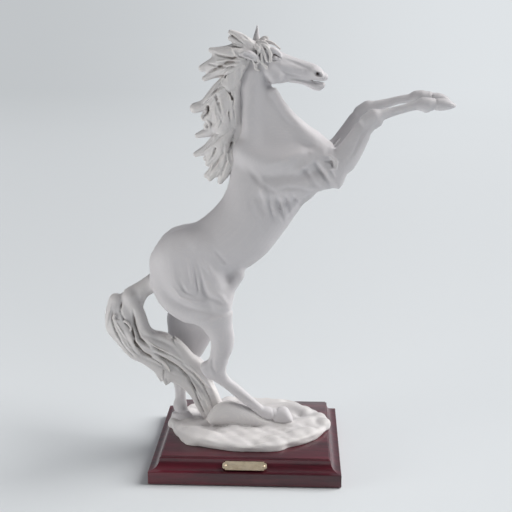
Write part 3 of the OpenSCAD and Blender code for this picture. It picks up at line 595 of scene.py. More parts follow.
# Each fall of the mane: flat masses of x, y, z, radius with their blend and flatness,
# then grooves and ridges on the near side, the far side, and holes beside the neck
UPPER_MANE = {
    "masses": [
        ([(4, 0, 412, 8), (-6, 0, 402, 8), (-13, 0, 386, 8)], 4),
        ([(2, -2, 416, 6.5), (-6, -4, 422, 5.5), (-12, -4, 427, 4), (-18.4, -4, 430.6, 2)], 3),
        ([(-8, -3, 419, 5), (-13, -4, 423, 3.6), (-18.6, -4, 424.6, 1.7)], 1.6),
        ([(-4, -3, 408, 9), (-15, -5, 409, 8.4), (-25, -6, 410, 6),
          (-38.6, -5, 412.8, 1.3)], 4),
        ([(-8, -2, 402, 9), (-22, -3, 402, 9), (-33, -4, 399.6, 6.4), (-42, -3, 397, 4.2),
          (-48.4, -2, 394.4, 3)], 3),
        ([(-10, 0, 396, 9), (-24, -2, 393, 8), (-34, -4, 389.6, 4.2), (-45.6, -4, 384, 1.2)],
         3),
        ([(-6, 7, 404, 7), (-18, 9, 404, 6.5), (-30, 8, 405, 3.6), (-36, 7, 407, 1.4)], 3),
        ([(-10, 8, 392, 7), (-24, 9, 390, 6), (-36, 8, 392, 3), (-43, 6, 391, 1.4)], 3),
        ([(-10, -6, 400, 9), (-16, -7, 390, 9), (-20, -7, 378, 9)], 4),
        ([(-6, 0, 410, 9), (-18, -1, 407, 9.5), (-29, -2, 403, 8)], 4),
        ([(-14, -2, 398, 9), (-27, -2, 396, 8.6), (-37, -2, 394.6, 5.6)], 4)],
    "grooves": [
        [(-4, 419, 1.6, 0.3), (-10, 423, 1.8, 1.6), (-17, 427.6, 1.5, 1.6)],
        [(-2, 414, 2, 0.4), (-14, 416.5, 2.2, 1.7), (-26, 414.6, 1.8, 0.5)],
        [(-6, 408, 1.8, 0.5), (-16, 405, 2.2, 2.0), (-30, 408, 2, 1.3), (-36, 411, 1.4, 0.3)],
        [(-12, 402, 1.8, 0.5), (-21, 401, 2.4, 2.6), (-34, 394, 2.6, 2.8), (-40, 391, 2, 1)],
        [(-13, 397, 1.6, 0.5), (-26, 396, 2, 1.6), (-40, 399, 1.6, 0.8)],
        [(-16, 392, 1.8, 0.4), (-26, 387, 2.2, 1.8), (-34, 386, 1.8, 0.6)],
        [(-5, 404, 1.2, -0.4), (-14, 408, 1.3, -1.5), (-18, 416, 1.2, -0.5)],
        [(-7, 403, 1.2, -0.4), (-20, 403.4, 1.4, -1.6), (-32, 402, 1.2, -0.8)],
        [(-9, 400, 1.2, -0.4), (-20, 398, 1.4, -1.5), (-30, 391, 1.2, -0.6)]],
    "curls": [],
    "holes": [([(-7, -14, 407, 2), (-7.4, -14, 400, 1.6)], 5),
              ([(-2, -14, 404, 1.6), (1, -14, 399, 1.3)], 4),
              ([(-22, -15, 386, 3), (-18, -14, 378, 2.4)], 8)]}
MIDDLE_MANE = {
    "masses": [
        ([(-14, 0, 388, 8), (-15, 0, 368, 8.5), (-12, 0, 344, 8)], 4),
        ([(-16, -4, 381, 9), (-28, -6, 374, 8), (-38, -6, 364, 6.5), (-46, -5, 357, 5),
          (-56, -4, 353.6, 4.6)], 3),
        ([(-22, -5, 366, 10), (-25, -6, 350, 11), (-27, -5, 334, 10)], 5),
        ([(-16, -4, 370, 7), (-16, -5, 356, 7), (-16, -5, 338, 7)], 4),
        ([(-26, 6, 376, 8), (-32, 7, 362, 8), (-34, 6, 344, 8), (-40, 4, 333, 5)], 4),
        ([(-22, -2, 338, 8), (-32, -4, 334, 6.5), (-42, -3, 329, 4.5), (-53.6, -2, 325, 1.4)],
         2.5),
        ([(-32, -2, 352, 9), (-40, -3, 345, 6.4)], 4)],
    "grooves": [
        [(-20, 380, 1.8, 0.4), (-32, 374, 2.2, 1.6), (-42, 362, 2, 1.5), (-50, 356.5, 1.6, 0.4)],
        [(-33, 371, 2.2, 0.4), (-33, 366, 2.6, 1.5), (-28, 354, 2.6, 1.4), (-25, 340, 2, 0.3)],
        [(-42, 356, 2, 2.6), (-41.6, 350, 2, 2.6), (-45, 346, 1.4, 1.4)],
        [(-18, 364, 1.6, 0.4), (-20, 350, 1.8, 1.4), (-19, 336, 1.6, 0.4)],
        [(-30, 350, 1.6, 0.4), (-27, 340, 1.8, 1.2), (-32, 331, 1.6, 0.4)],
        [(-14, 372, 1.1, -0.4), (-14.6, 356, 1.2, -1.4), (-12, 338, 1.1, -0.5)],
        [(-22, 377, 1.3, -0.4), (-36, 368, 1.4, -1.4), (-46, 359.6, 1.3, -0.8)]],
    "curls": [
        ([(-40, -9, 361), (-34, -13, 360), (-33, -14, 354), (-37, -12, 351)], 1.5),
        ([(-34, -12, 357), (-30, -15, 353), (-31, -14, 344), (-35, -12, 338)], 1.5),
        ([(-47, -6, 343), (-41, -10, 343), (-39, -11, 336), (-41, -9, 329)], 1.8),
        ([(-45, -6, 349), (-50, -6, 346), (-49, -7, 341), (-44, -8, 341)], 1.8),
        ([(-42, -8, 339), (-47, -7, 337), (-46, -7, 332), (-42, -8, 333)], 1.7),
        ([(-40, -10, 350), (-37, -12, 346), (-40, -11, 343), (-43, -9, 346)], 1.5),
        ([(-46, 4, 350), (-50, 4, 344), (-46, 4, 338), (-42, 4, 340)], 1.9)],
    "holes": [([(-21.6, -15, 374, 2.6), (-17, -15, 364, 2.2)], 7),
              ([(-43, -9, 354, 2), (-43, -9, 352, 2)], 4)]}
LOWER_MANE = {
    "masses": [
        ([(-11, 0, 346, 8), (-11, 0, 326, 8), (-15, 0, 306, 7.5), (-19, 0, 292, 5)], 4),
        ([(-18, -3, 336, 8), (-28, -5, 322, 8.5), (-26, -4, 308, 8), (-24, -3, 298, 7)], 4),
        ([(-22, -2, 328, 9), (-32, -4, 319, 8), (-42, -4, 311.6, 5.4), (-55.6, -3, 305.4, 1.3)],
         3),
        ([(-26, -3, 314, 8), (-36, -4, 307, 6.4), (-43, -4, 295.6, 1.8)], 3),
        ([(-24, -2, 304, 8), (-32, -3, 293, 6.6), (-38, -3, 286.4, 5), (-44.4, -3, 283, 2)], 3),
        ([(-34, -3, 289, 4), (-41, -3, 279.6, 1.6)], 1.5),
        ([(-20, -2, 302, 7.5), (-25, -3, 288, 5.4), (-30.2, -3, 276.6, 2)], 3),
        ([(-20, 6, 334, 7), (-32, 8, 316, 7), (-40, 6, 306, 3.5), (-46, 5, 300, 1.6)], 3),
        ([(-18, 6, 316, 7), (-28, 7, 298, 6), (-36, 6, 290, 3), (-40, 5, 287, 1.5)], 3)],
    "grooves": [
        [(-20, 332, 2, 0.5), (-30, 325, 2.2, 1.6), (-42, 314, 1.9, 1.2), (-50, 308, 1.3, 0.4)],
        [(-34, 313, 1.8, 1.6), (-37, 305, 1.8, 1.7), (-41, 299, 1.4, 0.6)],
        [(-26, 322, 2, 0.4), (-26, 308, 2.4, 1.6), (-34, 296, 2, 1.6), (-42, 284, 1.5, 0.8)],
        [(-22, 312, 2, 0.4), (-23, 300, 2, 1.4), (-28, 284, 1.8, 1.0)],
        [(-14, 336, 1.6, 0.4), (-17, 322, 2, 1.4), (-21, 309, 2, 1.6)],
        [(-22, 295, 1.2, -0.5), (-19, 301, 1.2, -1.3), (-20, 309, 1.1, -0.4)],
        [(-26, 330, 1.2, -0.4), (-35, 321, 1.3, -1.2), (-45, 310, 1.2, -0.7)]],
    "curls": [],
    "holes": [([(-12.4, -13, 321, 1.6), (-11, -13.4, 311, 1.6)], 5),
              ([(-19.4, -13, 311, 2), (-19, -12.6, 301, 2.4), (-16, -12, 294, 1.8)], 5)]}


def comb(clay, points):
    """Lays wavy strands along a flat mass, on its near and far sides."""
    rows = smooth_rows(points, 5)
    ahead = np.gradient(rows[:, [0, 2]], axis=0)
    ahead /= np.linalg.norm(ahead, axis=1, keepdims=True) + 1e-9
    t = np.linspace(0, 1, len(rows))
    radius = rows[:, 3]
    for side in (-1, 1):
        for k, share in enumerate((-0.66, -0.22, 0.24, 0.68)):
            wave = share + 0.16 * np.sin(2 * math.pi * (1.3 * t + 0.31 * k) + rows[0, 2])
            place = rows[:, :3].copy()
            place[:, 0] -= ahead[:, 1] * wave * radius
            place[:, 2] += ahead[:, 0] * wave * radius
            place[:, 1] += side * radius * (1.2 * np.sqrt(1 - 0.9 * wave ** 2) - 0.12)
            strand(clay, place, 0.26 * radius * (1 - 0.35 * t), 0.5)


def mane_clay(fall, low, high, cell):
    """One fall of the mane: broad masses, then lines, curls and holes."""
    clay = Clay(low, high, cell)
    for points, blend in fall["masses"]:
        fuller = [(x, y, z, max(r + 0.8, 2.9)) for x, y, z, r in points]
        clay.mass(fuller, blend, 0.82)
    for points, blend in fall["masses"]:
        comb(clay, [(x, y, z, max(r + 0.6, 2.6)) for x, y, z, r in points])
    for points in fall["grooves"]:
        deeper = [(x, z, w, 0.9 * d) for x, z, w, d in points]
        clay.stroke(deeper, -1, 2.0)
        clay.stroke([(x - 1, z - 2, w, d) for x, z, w, d in deeper], 1, 2.0)
    for curve, thick in fall["curls"]:
        count = 14
        thin = thick * (1 - 0.5 * np.linspace(0, 1, count) ** 2)
        strand(clay, bezier(curve, count), thin, 0.5)
    for points, depth in fall["holes"]:
        clay.dig(points, depth)
    return clay


MANES = {
    "mane_upper": (UPPER_MANE, (-58, -24, 370), (14, 24, 438)),
    "mane_middle": (MIDDLE_MANE, (-68, -26, 318), (2, 24, 396)),
    "mane_lower": (LOWER_MANE, (-64, -22, 268), (2, 24, 354)),
}

FORELOCK = [
    ([(6, -2, 419), (12, -6, 424), (22, -10, 418), (24, -12, 408)], 3.0),
    ([(7, 2, 420), (14, 3, 424), (24, 3, 422), (32, 1, 414)], 2.8),
    ([(5, 5, 419), (12, 9, 421), (19, 11, 415), (21, 11.5, 407)], 2.8),
    ([(6, -8, 417), (10, -13, 417), (12, -14, 412), (9, -14, 408)], 3.0),
]
# Open curls over the near side of the forehead: curve and thickness
FORELOCK_CURLS = [
    ([(9, -8, 419), (19, -12, 420), (24, -13, 411), (22, -12.4, 402)], 1.6),
    ([(7, -8, 418), (15, -12, 416), (13, -14, 408), (14, -13.4, 402)], 1.4),
    ([(14, -13, 402), (6, -14, 401), (5, -14, 393), (11, -13.6, 393)], 1.2),
    ([(13, -13, 402), (15, -14.4, 398), (19, -13.6, 398), (20, -12.6, 392)], 1.4),
    ([(20, -12.6, 393), (23, -12.6, 389), (24, -12.6, 393), (21, -12.6, 394)], 1.2),
    ([(5, -9, 415), (5, -13, 410), (7, -14, 405), (11, -14, 402)], 1.4),
    ([(11, -11, 418), (17, -14, 412), (16, -14, 407), (19, -13.4, 402)], 1.2),
    ([(4, -10, 412), (3, -13.4, 405), (6, -14, 398), (9, -13.6, 397)], 1.2),
    ([(10, 0, 421), (15, -1, 427), (17, -2, 426), (19, -3, 425)], 1.5),
]


def forelock_clay():
    """Locks between the ears and open curls over the brow."""
    clay = Clay((-4, -22, 386), (40, 18, 430), 0.5)
    for k, (curve, width) in enumerate(FORELOCK):
        lock(clay, curve, width, 3, 0.6, 1.3 * k, 0.25, 0.6)
    for curve, thick in FORELOCK_CURLS:
        strand(clay, bezier(curve, 16), np.full(16, thick), 0.4)
    return clay


# ---- tail -------------------------------------------------------------------------
def tail_clay():
    """A thick fall of hair, smooth at the dock, grooved and corded lower down."""
    clay = Clay((-166, -34, -2), (-24, 30, 196), 0.7)
    torso_clay(clay)
    near_dock(clay)
    rows = smooth_rows(TAIL, 6)
    clay.cast(loft(TAIL), 3)
    middle = (rows[:, 0:2] + rows[:, 2:4]) / 2
    count = len(rows)
    t = np.linspace(0, 1, count)
    for side in (-1, 1):
        for k, u in enumerate((-0.8, -0.5, -0.15, 0.2, 0.52, 0.82)):
            across = np.clip(u + 0.1 * np.sin(2 * math.pi * (1.3 * t + 0.37 * k)), -1, 1)
            start = 26 + (k * 7) % 12
            place = middle + (rows[:, 0:2] - middle) * across[:, None]
            out = rows[:, 5] + side * rows[:, 4] * np.sqrt(1 - 0.8 * across ** 2) * 0.72
            points = np.column_stack([place[:, 0], out, place[:, 1]])[start:]
            fine = t[start:]
            thick = 4.0 + 0.8 * np.sin(2 * math.pi * (1.6 * fine + 0.23 * k))
            thick *= np.clip((fine - fine[0]) * 7, 0.1, 1)
            strand(clay, points, thick, 1.6)
    for points, blend in TAIL_MASSES:
        clay.mass(points, blend)
    for points in TAIL_LINES:
        deeper = [(x, z, w, 0.95 * d) for x, z, w, d in points]
        clay.stroke(deeper, -1, -4.0)
        clay.stroke([(x + 2, z - 2, w, d) for x, z, w, d in deeper], 1, 2.0)
    for curve, thick in TAIL_CURLS:
        thin = thick * (1 - 0.6 * np.linspace(0, 1, 16) ** 2)
        strand(clay, bezier(curve, 16), thin, 0.5)
    for points, depth in TAIL_HOLES:
        clay.dig(points, depth)
    return clay


TAIL_MASSES = [
    # the smooth inner cord and the band that runs to the ground
    ([(-128, -7, 150, 9), (-118, -10, 130, 7), (-112, -11, 114, 7), (-100, -11, 102, 7),
      (-86, -10, 95, 7)], 3),
    ([(-86, -10, 94, 7), (-76, -9, 86, 8), (-62, -6, 74, 8), (-50, -3, 58, 7),
      (-42, 2, 40, 6), (-36, 6, 22, 6)], 3),
    # outer band and its corner
    ([(-144, -7, 146, 8), (-149, -8, 130, 7), (-151, -8, 118, 4)], 3),
    ([(-146, -9, 124, 7), (-138, -10, 106, 7), (-126, -10, 92, 6), (-116, -10, 82, 4)], 2.5),
    # lower cord ending in three points
    ([(-112, -10, 88, 6), (-102, -11, 78, 6), (-94, -12, 70, 5)], 2),
    ([(-101, -11, 74, 3.6), (-99, -12, 66, 3), (-95.6, -12, 57.6, 1.6)], 1.2),
    ([(-95, -12, 72, 3.6), (-93, -13, 62, 3), (-90, -13, 53.6, 1.6)], 1.2),
    ([(-89, -11, 74, 3.8), (-87, -12, 64, 3), (-87.4, -12, 55, 1.6)], 1.2)]
TAIL_LINES = [
    [(-137, 147, 1.8, 0.4), (-137.4, 142, 2, 2.6), (-138, 136, 1.8, 0.8)],
    [(-138, 136, 1.8, 0.8), (-133, 125, 2, 2.2), (-126, 118, 2.4, 3.2), (-122, 103, 2.6, 4.2),
     (-115, 92, 3, 4.2), (-106, 86, 2.6, 2.2)],
    [(-124, 138, 2, 0.6), (-123, 122, 2.4, 3.2), (-117, 107, 2.2, 2.6), (-106, 98, 1.8, 1.0)],
    [(-148, 143, 1.6, -0.4), (-151, 132, 1.8, -1.6), (-154, 118, 1.5, -0.8)],
    [(-146, 138, 1.6, 0.4), (-147, 126, 1.8, 1.8), (-144, 116, 1.8, 2.0), (-135, 99, 1.8, 1.6),
     (-124, 86, 1.5, 0.6)],
    [(-145, 128, 1.5, -0.6), (-137, 115, 1.7, -2.0), (-128, 99, 1.7, -2.0), (-119, 89, 1.5, -0.8)],
    [(-141, 120, 1.5, 0.6), (-132, 106, 1.8, 2.2), (-124, 94, 1.7, 1.6), (-117, 86, 1.4, 0.5)],
    [(-97, 116, 1.4, 0.6), (-90, 112, 1.6, 1.8), (-82, 104, 1.6, 2.0), (-76, 97, 1.4, 0.5)],
    [(-108, 105, 1.3, -0.6), (-99, 98.6, 1.5, -1.8), (-87, 92.6, 1.3, -0.8)],
    [(-104, 101, 1.4, 0.5), (-96, 94, 1.7, 1.7), (-82, 88, 1.6, 1.4), (-70, 79, 1.4, 0.5)],
    [(-100, 90, 1.8, 0.8), (-88, 82, 2.2, 2.4), (-76, 74, 2.2, 2.4), (-66, 62, 2, 1.6),
     (-58, 46, 2, 2.0), (-52, 34, 1.8, 1.0)],
    [(-72, 78, 1.6, 0.5), (-60, 66, 1.9, 1.8), (-50, 52, 1.9, 2.0), (-44, 36, 1.7, 1.6),
     (-40, 22, 1.6, 0.8)],
    [(-64, 76, 1.4, -0.5), (-54, 64, 1.6, -1.4), (-44, 48, 1.5, -1.2)],
    [(-43, 57, 1.8, 0.6), (-38, 48, 2.2, 2.8), (-34, 40, 1.6, 1.0)],
    [(-66, 60, 1.6, 0.6), (-60, 48, 1.9, 2.4), (-55, 32, 1.8, 2.0), (-50, 18, 1.6, 0.8)],
    [(-52, 44, 1.3, -0.5), (-47, 32, 1.5, -1.6), (-43, 18, 1.4, -0.8)],
]
TAIL_CURLS = [
    ([(-144, -16, 132), (-147, -17, 128), (-143, -17, 124), (-140, -17, 127)], 1.7),
    ([(-133, -17, 126), (-128, -19, 124), (-124, -19, 118), (-128, -18, 114)], 1.6),
    ([(-110, -17, 104), (-104, -19, 103), (-100, -19, 98), (-104, -18, 95)], 1.6),
    ([(-118, -15, 88), (-110, -17, 86), (-102, -17, 82), (-94, -17, 76)], 1.8),
    ([(-100, -16, 84), (-92, -18, 82), (-86, -18, 76), (-85, -16, 68)], 1.7),
]
TAIL_HOLES = [([(-126, -17, 108, 2), (-121, -17, 98, 2.4), (-114, -17, 92, 2)], 3),
              ([(-92, -16, 70, 1.5), (-92, -16, 60, 1.5)], 4)]


# ---- ground -----------------------------------------------------------------------
def ground_clay():
    """A rocky oval the horse stands on, wavy on top and rough round the rim."""
    clay = Clay((-96, -80, -1.4), (96, 82, 40), 0.8)
    where, (x, y, z) = clay.window((-96, -80, -1.4), (96, 82, 40))
    turn = np.arctan2((y - 2) / 73, x / 88)
    edge = (1 + 0.012 * np.sin(3 * turn + 0.6) + 0.010 * np.sin(5 * turn + 2.1)
            + 0.008 * np.sin(9 * turn + 1.2) + 0.006 * np.sin(14 * turn + 0.4))
    reach = np.hypot(x / 87, (y - 2) / 72)
    rim = (reach - edge) * 76 + 0.035 * (z - 5.5) ** 2
    rim = rim + 0.5 * np.sin(0.9 * z + 4 * turn) * np.sin(7 * turn)
    swell = (8.2 + 1.1 * np.sin(0.085 * x + 0.05 * y + 0.8) * np.sin(0.11 * y + 1.0)
             + 0.55 * np.sin(0.19 * x - 0.13 * y + 2.0)
             + 0.35 * np.sin(0.33 * x + 0.27 * y) + 0.3 * np.sin(0.41 * y - 0.2 * x + 1.4))
    top = z - swell
    mix = np.clip(0.5 + 0.5 * (rim - top) / 4, 0, 1)
    shape = top + (rim - top) * mix + 4 * mix * (1 - mix)
    clay.field[where] = shape.astype(np.float32)
    for points, blend in GROUND_LUMPS:
        clay.mass(points, blend)
    clay.cast(loft(MOUND), 3)
    rng = np.random.default_rng(7)
    for _ in range(16):
        a = rng.uniform(0, 2 * math.pi)
        far = rng.uniform(0.86, 0.97)
        size = rng.uniform(4.5, 8.5)
        clay.mass([(88 * far * math.cos(a), 2 + 73 * far * math.sin(a),
                    rng.uniform(0, 7) - size * 0.4, size)], 6)
    for _ in range(70):
        a = rng.uniform(0, 2 * math.pi)
        far = rng.uniform(0.2, 1.0) ** 0.5
        clay.dig([(86 * far * math.cos(a), 2 + 71 * far * math.sin(a),
                   rng.uniform(3, 9.5), rng.uniform(5, 11))], rng.uniform(0.3, 0.9))
    # flat underneath, where it sits on the panel
    clay.field[:] = np.maximum(clay.field, -z)
    return clay


MOUND = [
    (-46, 16, -38, 6, 7, -14), (-36, 30, -28, 7, 9, -13), (-22, 35, -16, 7, 10, -12),
    (-8, 31, -6, 6, 10, -11), (8, 23, 6, 5, 9, -10), (24, 14, 22, 4, 8, -9),
    (40, 10, 38, 4, 6, -8)]
GROUND_LUMPS = [
    ([(20, 30, 6, 8), (44, 36, 7, 9), (62, 28, 5, 8)], 8),
    ([(-20, 40, 5, 8), (4, 48, 6, 9), (30, 52, 5, 8)], 8),
    ([(48, -10, 4, 7), (66, 0, 4, 8)], 7),
    ([(52, -38, 3, 8), (66, -28, 3, 8)], 6),
    ([(-60, -30, 3, 8), (-40, -44, 3, 8)], 7),
    ([(-80, 8, 2, 9), (-70, 24, 3, 9)], 6),
    ([(-46, 14, 9, 6), (-38, -4, 8, 6)], 5),
]


# ---- cutting and placing ----------------------------------------------------------
def block(centre, turn, *boxes):
    """A joint's place in the figure, and the boxes x0, x1, y0, y1, z0, z1 beyond it."""
    place = (Matrix.Translation(centre)
             @ Matrix.Rotation(math.radians(turn), 4, "Y"))
    return place, boxes


JOINTS = {
    "neck": block((32, 0, 317), -9, (-90, 90, -60, 60, 0, 160)),
    # the skull, then the muzzle, then the ear that lies back over the neck
    "head": block((11, 0, 397), 58.6, (-40, 24, -40, 40, 0, 110),
                  (24, 60, -40, 40, 7, 110), (-30, 6, -40, -8.5, -20, 0)),
    "right_fore": block((100, -25, 303), 35, (-12.5, 120, -18, 20, 0, 160)),
    "left_fore": block((98, 25, 307), 35, (-12.5, 120, -20, 18, 0, 160)),
    "right_hind": block((-31, -25, 117), 11.5, (-24, 140, -22, 34, -160, 0)),
    "left_hind": block((-60, 24, 122), 20, (-38, 70, -36, 22, -160, 0)),
    "tail": block((-105, 0, 164), -113, (-18, 18, -16, 16, 0, 60)),
    "dock": block((-105, 0, 164), -113, (-18, 18, -16, 16, -40, 0)),
}


def local_points(bm, place):
    """The mesh's points as seen from a joint's place."""
    points = np.array([v.co for v in bm.verts])
    back = np.array(place.inverted())
    return points @ back[:3, :3].T + back[:3, 3]


def cut_block(bm, joint):
    """Splits the skin round a joint's boxes; returns the part inside them."""
    place, boxes = JOINTS[joint]
    boxes = [(np.array(box[0::2], float), np.array(box[1::2], float)) for box in boxes]
    turn = place.to_3x3()
    points = local_points(bm, place)
    close = np.zeros(len(points), bool)
    for low, high in boxes:
        close |= ((points > low - 2) & (points < high + 2)).all(1)
    bm.verts.ensure_lookup_table()
    verts = [bm.verts[i] for i in np.flatnonzero(close)]
    faces = {f for v in verts for f in v.link_faces}
    geom = list(faces) + list({e for f in faces for e in f.edges})
    geom += list({v for f in faces for v in f.verts})
    planes = {(axis, float(limit)) for low, high in boxes for axis in range(3)
              for limit in (low[axis], high[axis])}
    for axis, limit in sorted(planes):
        normal = Vector((0, 0, 0))
        normal[axis] = 1
        made = bmesh.ops.bisect_plane(bm, geom=geom, dist=1e-5,
                                      plane_co=place @ (normal * limit),
                                      plane_no=turn @ normal)
        geom = made["geom"]
    faces = [f for f in geom if isinstance(f, bmesh.types.BMFace)]
    back = place.inverted()
    within = set()
    bm.faces.index_update()
    for f in faces:
        at = back @ f.calc_center_median()
        if any(all(low[i] < at[i] < high[i] for i in range(3)) for low, high in boxes):
            within.add(f.index)
    # only the limb itself: what else the block takes in stays where it is
    inside = {f.index for f in patches(bm, within)[0]}
    part = bm.copy()
    bmesh.ops.delete(part, geom=[f for i, f in enumerate(part.faces) if i not in inside],
                     context="FACES")
    bmesh.ops.delete(bm, geom=[f for i, f in enumerate(bm.faces) if i in inside],
                     context="FACES")
    return part


def patches(bm, chosen=None):
    """The connected patches among the chosen faces, largest first."""
    bm.faces.ensure_lookup_table()
    bm.faces.index_update()
    left = set(range(len(bm.faces))) if chosen is None else set(chosen)
    found = []
    while left:
        patch = [bm.faces[left.pop()]]
        front = patch[:]
        while front:
            for e in front.pop().edges:
                for g in e.link_faces:
                    if g.index in left:
                        left.discard(g.index)
                        patch.append(g)
                        front.append(g)
        found.append(patch)
    return sorted(found, key=len, reverse=True)


def close_cut(bm, whole=True):
    """Keeps the one shell, or drops only crumbs, and caps the open cuts crisply."""
    loose = [f for patch in patches(bm)[1:] if whole or len(patch) < 60 for f in patch]
    bmesh.ops.delete(bm, geom=loose, context="FACES")
    bmesh.ops.dissolve_degenerate(bm, dist=0.002, edges=bm.edges)
    rim = [e for e in bm.edges if e.is_boundary]
    ends = {v for e in rim for v in e.verts}
    chords = [e for e in bm.edges if not e.is_boundary
              and e.verts[0] in ends and e.verts[1] in ends]
    bmesh.ops.subdivide_edges(bm, edges=chords, cuts=1)
    rim = [e for e in bm.edges if e.is_boundary]
    for e in rim:
        e.smooth = False
    bmesh.ops.holes_fill(bm, edges=rim, sides=0)
    bmesh.ops.poke(bm, faces=[f for f in bm.faces if len(f.verts) > 5])
    bmesh.ops.delete(bm, geom=[e for e in bm.edges if e.is_wire], context="EDGES")
    bmesh.ops.recalc_face_normals(bm, faces=bm.faces)
    if bm.calc_volume(signed=True) < 0:
        bmesh.ops.reverse_faces(bm, faces=bm.faces)


def keep_island(bm, point):
    """Keeps only the shell whose skin passes nearest the point."""
    point = Vector(point)
    nearest = min(patches(bm), key=lambda patch: min(
        (f.verts[0].co - point).length_squared for f in patch))
    kept = {f.index for f in nearest}
    bmesh.ops.delete(bm, geom=[f for f in bm.faces if f.index not in kept],
                     context="FACES")


def hollows(clay, reach):
    """How far each cell of the clay lies in a hollow, by a blurred copy."""
    if getattr(clay, "soft", None) is not None:
        return clay.soft
    soft = np.clip(clay.field, -4, 4)
    span = max(1, int(round(reach / clay.cell)))
    for axis in range(3):
        soft = np.moveaxis(soft, axis, 0)
        total = np.cumsum(soft, axis=0, dtype=np.float32)
        wide = soft.copy()
        wide[span + 1:-span] = ((total[2 * span + 1:] - total[:-2 * span - 1])
                                / (2 * span + 1))
        soft = np.moveaxis(wide, 0, axis)
    clay.soft = soft
    return soft


def mark_hollows(mesh, clay, reach, depth):
    """Writes the hollow attribute: 0.5 on open skin, up to 1 in a groove."""
    soft = hollows(clay, reach)
    points = np.empty(len(mesh.vertices) * 3, np.float32)
    mesh.vertices.foreach_get("co", points)
    where = (points.reshape(-1, 3) - clay.low) / clay.cell
    where = np.clip(np.round(where), 0, clay.size - 1).astype(int)
    value = np.clip(0.5 - soft[tuple(where.T)] / (2 * depth), 0, 1)
    mark = mesh.attributes.new("hollow", "FLOAT", "POINT")
    mark.data.foreach_set("value", value.astype(np.float32))


def to_frame(mesh):
    """Millimetres above the plinth to metres in the frame."""
    size = MM * FIGURE_SCALE
    mesh.transform(Matrix.Translation((0, 0, PLINTH_TOP)) @ Matrix.Scale(size, 4))


def add_piece(bm, name, nodes, material, clay=None, reach=2.6, depth=1.3):
    """Makes a finished piece that rides the figure's one body."""
    mesh = bpy.data.meshes.new(name)
    bm.to_mesh(mesh)
    bm.free()
    if clay is not None:
        mark_hollows(mesh, clay, reach, depth)
        to_frame(mesh)
        mesh.shade_smooth()
    mesh.materials.append(material)
    piece = bpy.data.objects.new(name, mesh)
    bpy.context.scene.collection.objects.link(piece)
    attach(piece, "root")
    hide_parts(*nodes)
    return piece


# ---- finishes ---------------------------------------------------------------------
class Nodes:
    """A short way to lay out a node tree."""

    def __init__(self, tree):
        self.tree = tree

    def add(self, kind, **values):
        made = self.tree.nodes.new(kind)
        for key, value in values.items():
            setattr(made, key, value)
        return made

    def link(self, one, two):
        self.tree.links.new(one, two)

    def feed(self, node, socket, value):
        if isinstance(value, bpy.types.NodeSocket):
            self.link(value, node.inputs[socket])
        else:
            node.inputs[socket].default_value = value

    def noise(self, vector, scale, detail=3.0, roughness=0.5):
        made = self.add("ShaderNodeTexNoise")
        self.link(vector, made.inputs["Vector"])
        made.inputs["Scale"].default_value = scale
        made.inputs["Detail"].default_value = detail
        made.inputs["Roughness"].default_value = roughness
        return made.outputs["Fac"]

    def ramp(self, value, low, high, start=0.0, end=1.0):
        made = self.add("ShaderNodeMapRange")
        made.interpolation_type = "SMOOTHSTEP"
        self.link(value, made.inputs["Value"])
        for key, number in (("From Min", low), ("From Max", high),
                            ("To Min", start), ("To Max", end)):
            made.inputs[key].default_value = number
        return made.outputs["Result"]

    def blend(self, mask, one, two):
        made = self.add("ShaderNodeMix", data_type="RGBA")
        self.feed(made, 0, mask)
        self.feed(made, 6, one)
        self.feed(made, 7, two)
        return made.outputs[2]

    def math(self, operation, one, two=0.0):
        made = self.add("ShaderNodeMath", operation=operation)
        self.feed(made, 0, one)
        self.feed(made, 1, two)
        return made.outputs[0]

    def bump(self, height, strength, distance):
        made = self.add("ShaderNodeBump")
        self.link(height, made.inputs["Height"])
        made.inputs["Strength"].default_value = strength
        made.inputs["Distance"].default_value = distance
        return made.outputs["Normal"]


def group(name, outputs):
    """A shared shader group fed by object coordinates."""
    tree = bpy.data.node_groups.new(name, "ShaderNodeTree")
    for label, kind in outputs:
        tree.interface.new_socket(label, in_out="OUTPUT", socket_type=kind)
    n = Nodes(tree)
    place = n.add("ShaderNodeTexCoord").outputs["Object"]
    return n, place, n.add("NodeGroupOutput")


def stone_group():
    """Fine bisque grain and broad clouding of cast resin."""
    n, place, out = group("Cast stone", [("Grain", "NodeSocketFloat"),
                                         ("Cloud", "NodeSocketFloat"),
                                         ("Tool", "NodeSocketFloat")])
    n.link(n.noise(place, 900, 4, 0.6), out.inputs["Grain"])
    n.link(n.noise(place, 24, 3, 0.5), out.inputs["Cloud"])
    n.link(n.noise(place, 190, 3, 0.55), out.inputs["Tool"])
    return n.tree


def grain_group():
    """Long wood grain with pores, running along X."""
    n, place, out = group("Wood grain", [("Figure", "NodeSocketFloat"),
                                         ("Pores", "NodeSocketFloat")])
    stretch = n.add("ShaderNodeMapping")
    n.link(place, stretch.inputs["Vector"])
    stretch.inputs["Scale"].default_value = (0.12, 1.0, 1.0)
    n.link(n.noise(stretch.outputs["Vector"], 90, 5, 0.6), out.inputs["Figure"])
    n.link(n.noise(stretch.outputs["Vector"], 620, 2, 0.6), out.inputs["Pores"])
    return n.tree


def material(name):
    """A new material, its node layout and its main shader."""
    made = bpy.data.materials.new(name)
    made.use_nodes = True
    tree = made.node_tree
    shader = tree.nodes["Principled BSDF"]
    return made, Nodes(tree), shader


def use_group(n, name, maker):
    """Adds a shared shader group, making it the first time."""
    tree = bpy.data.node_groups.get(name) or maker()
    return n.add("ShaderNodeGroup", node_tree=tree)


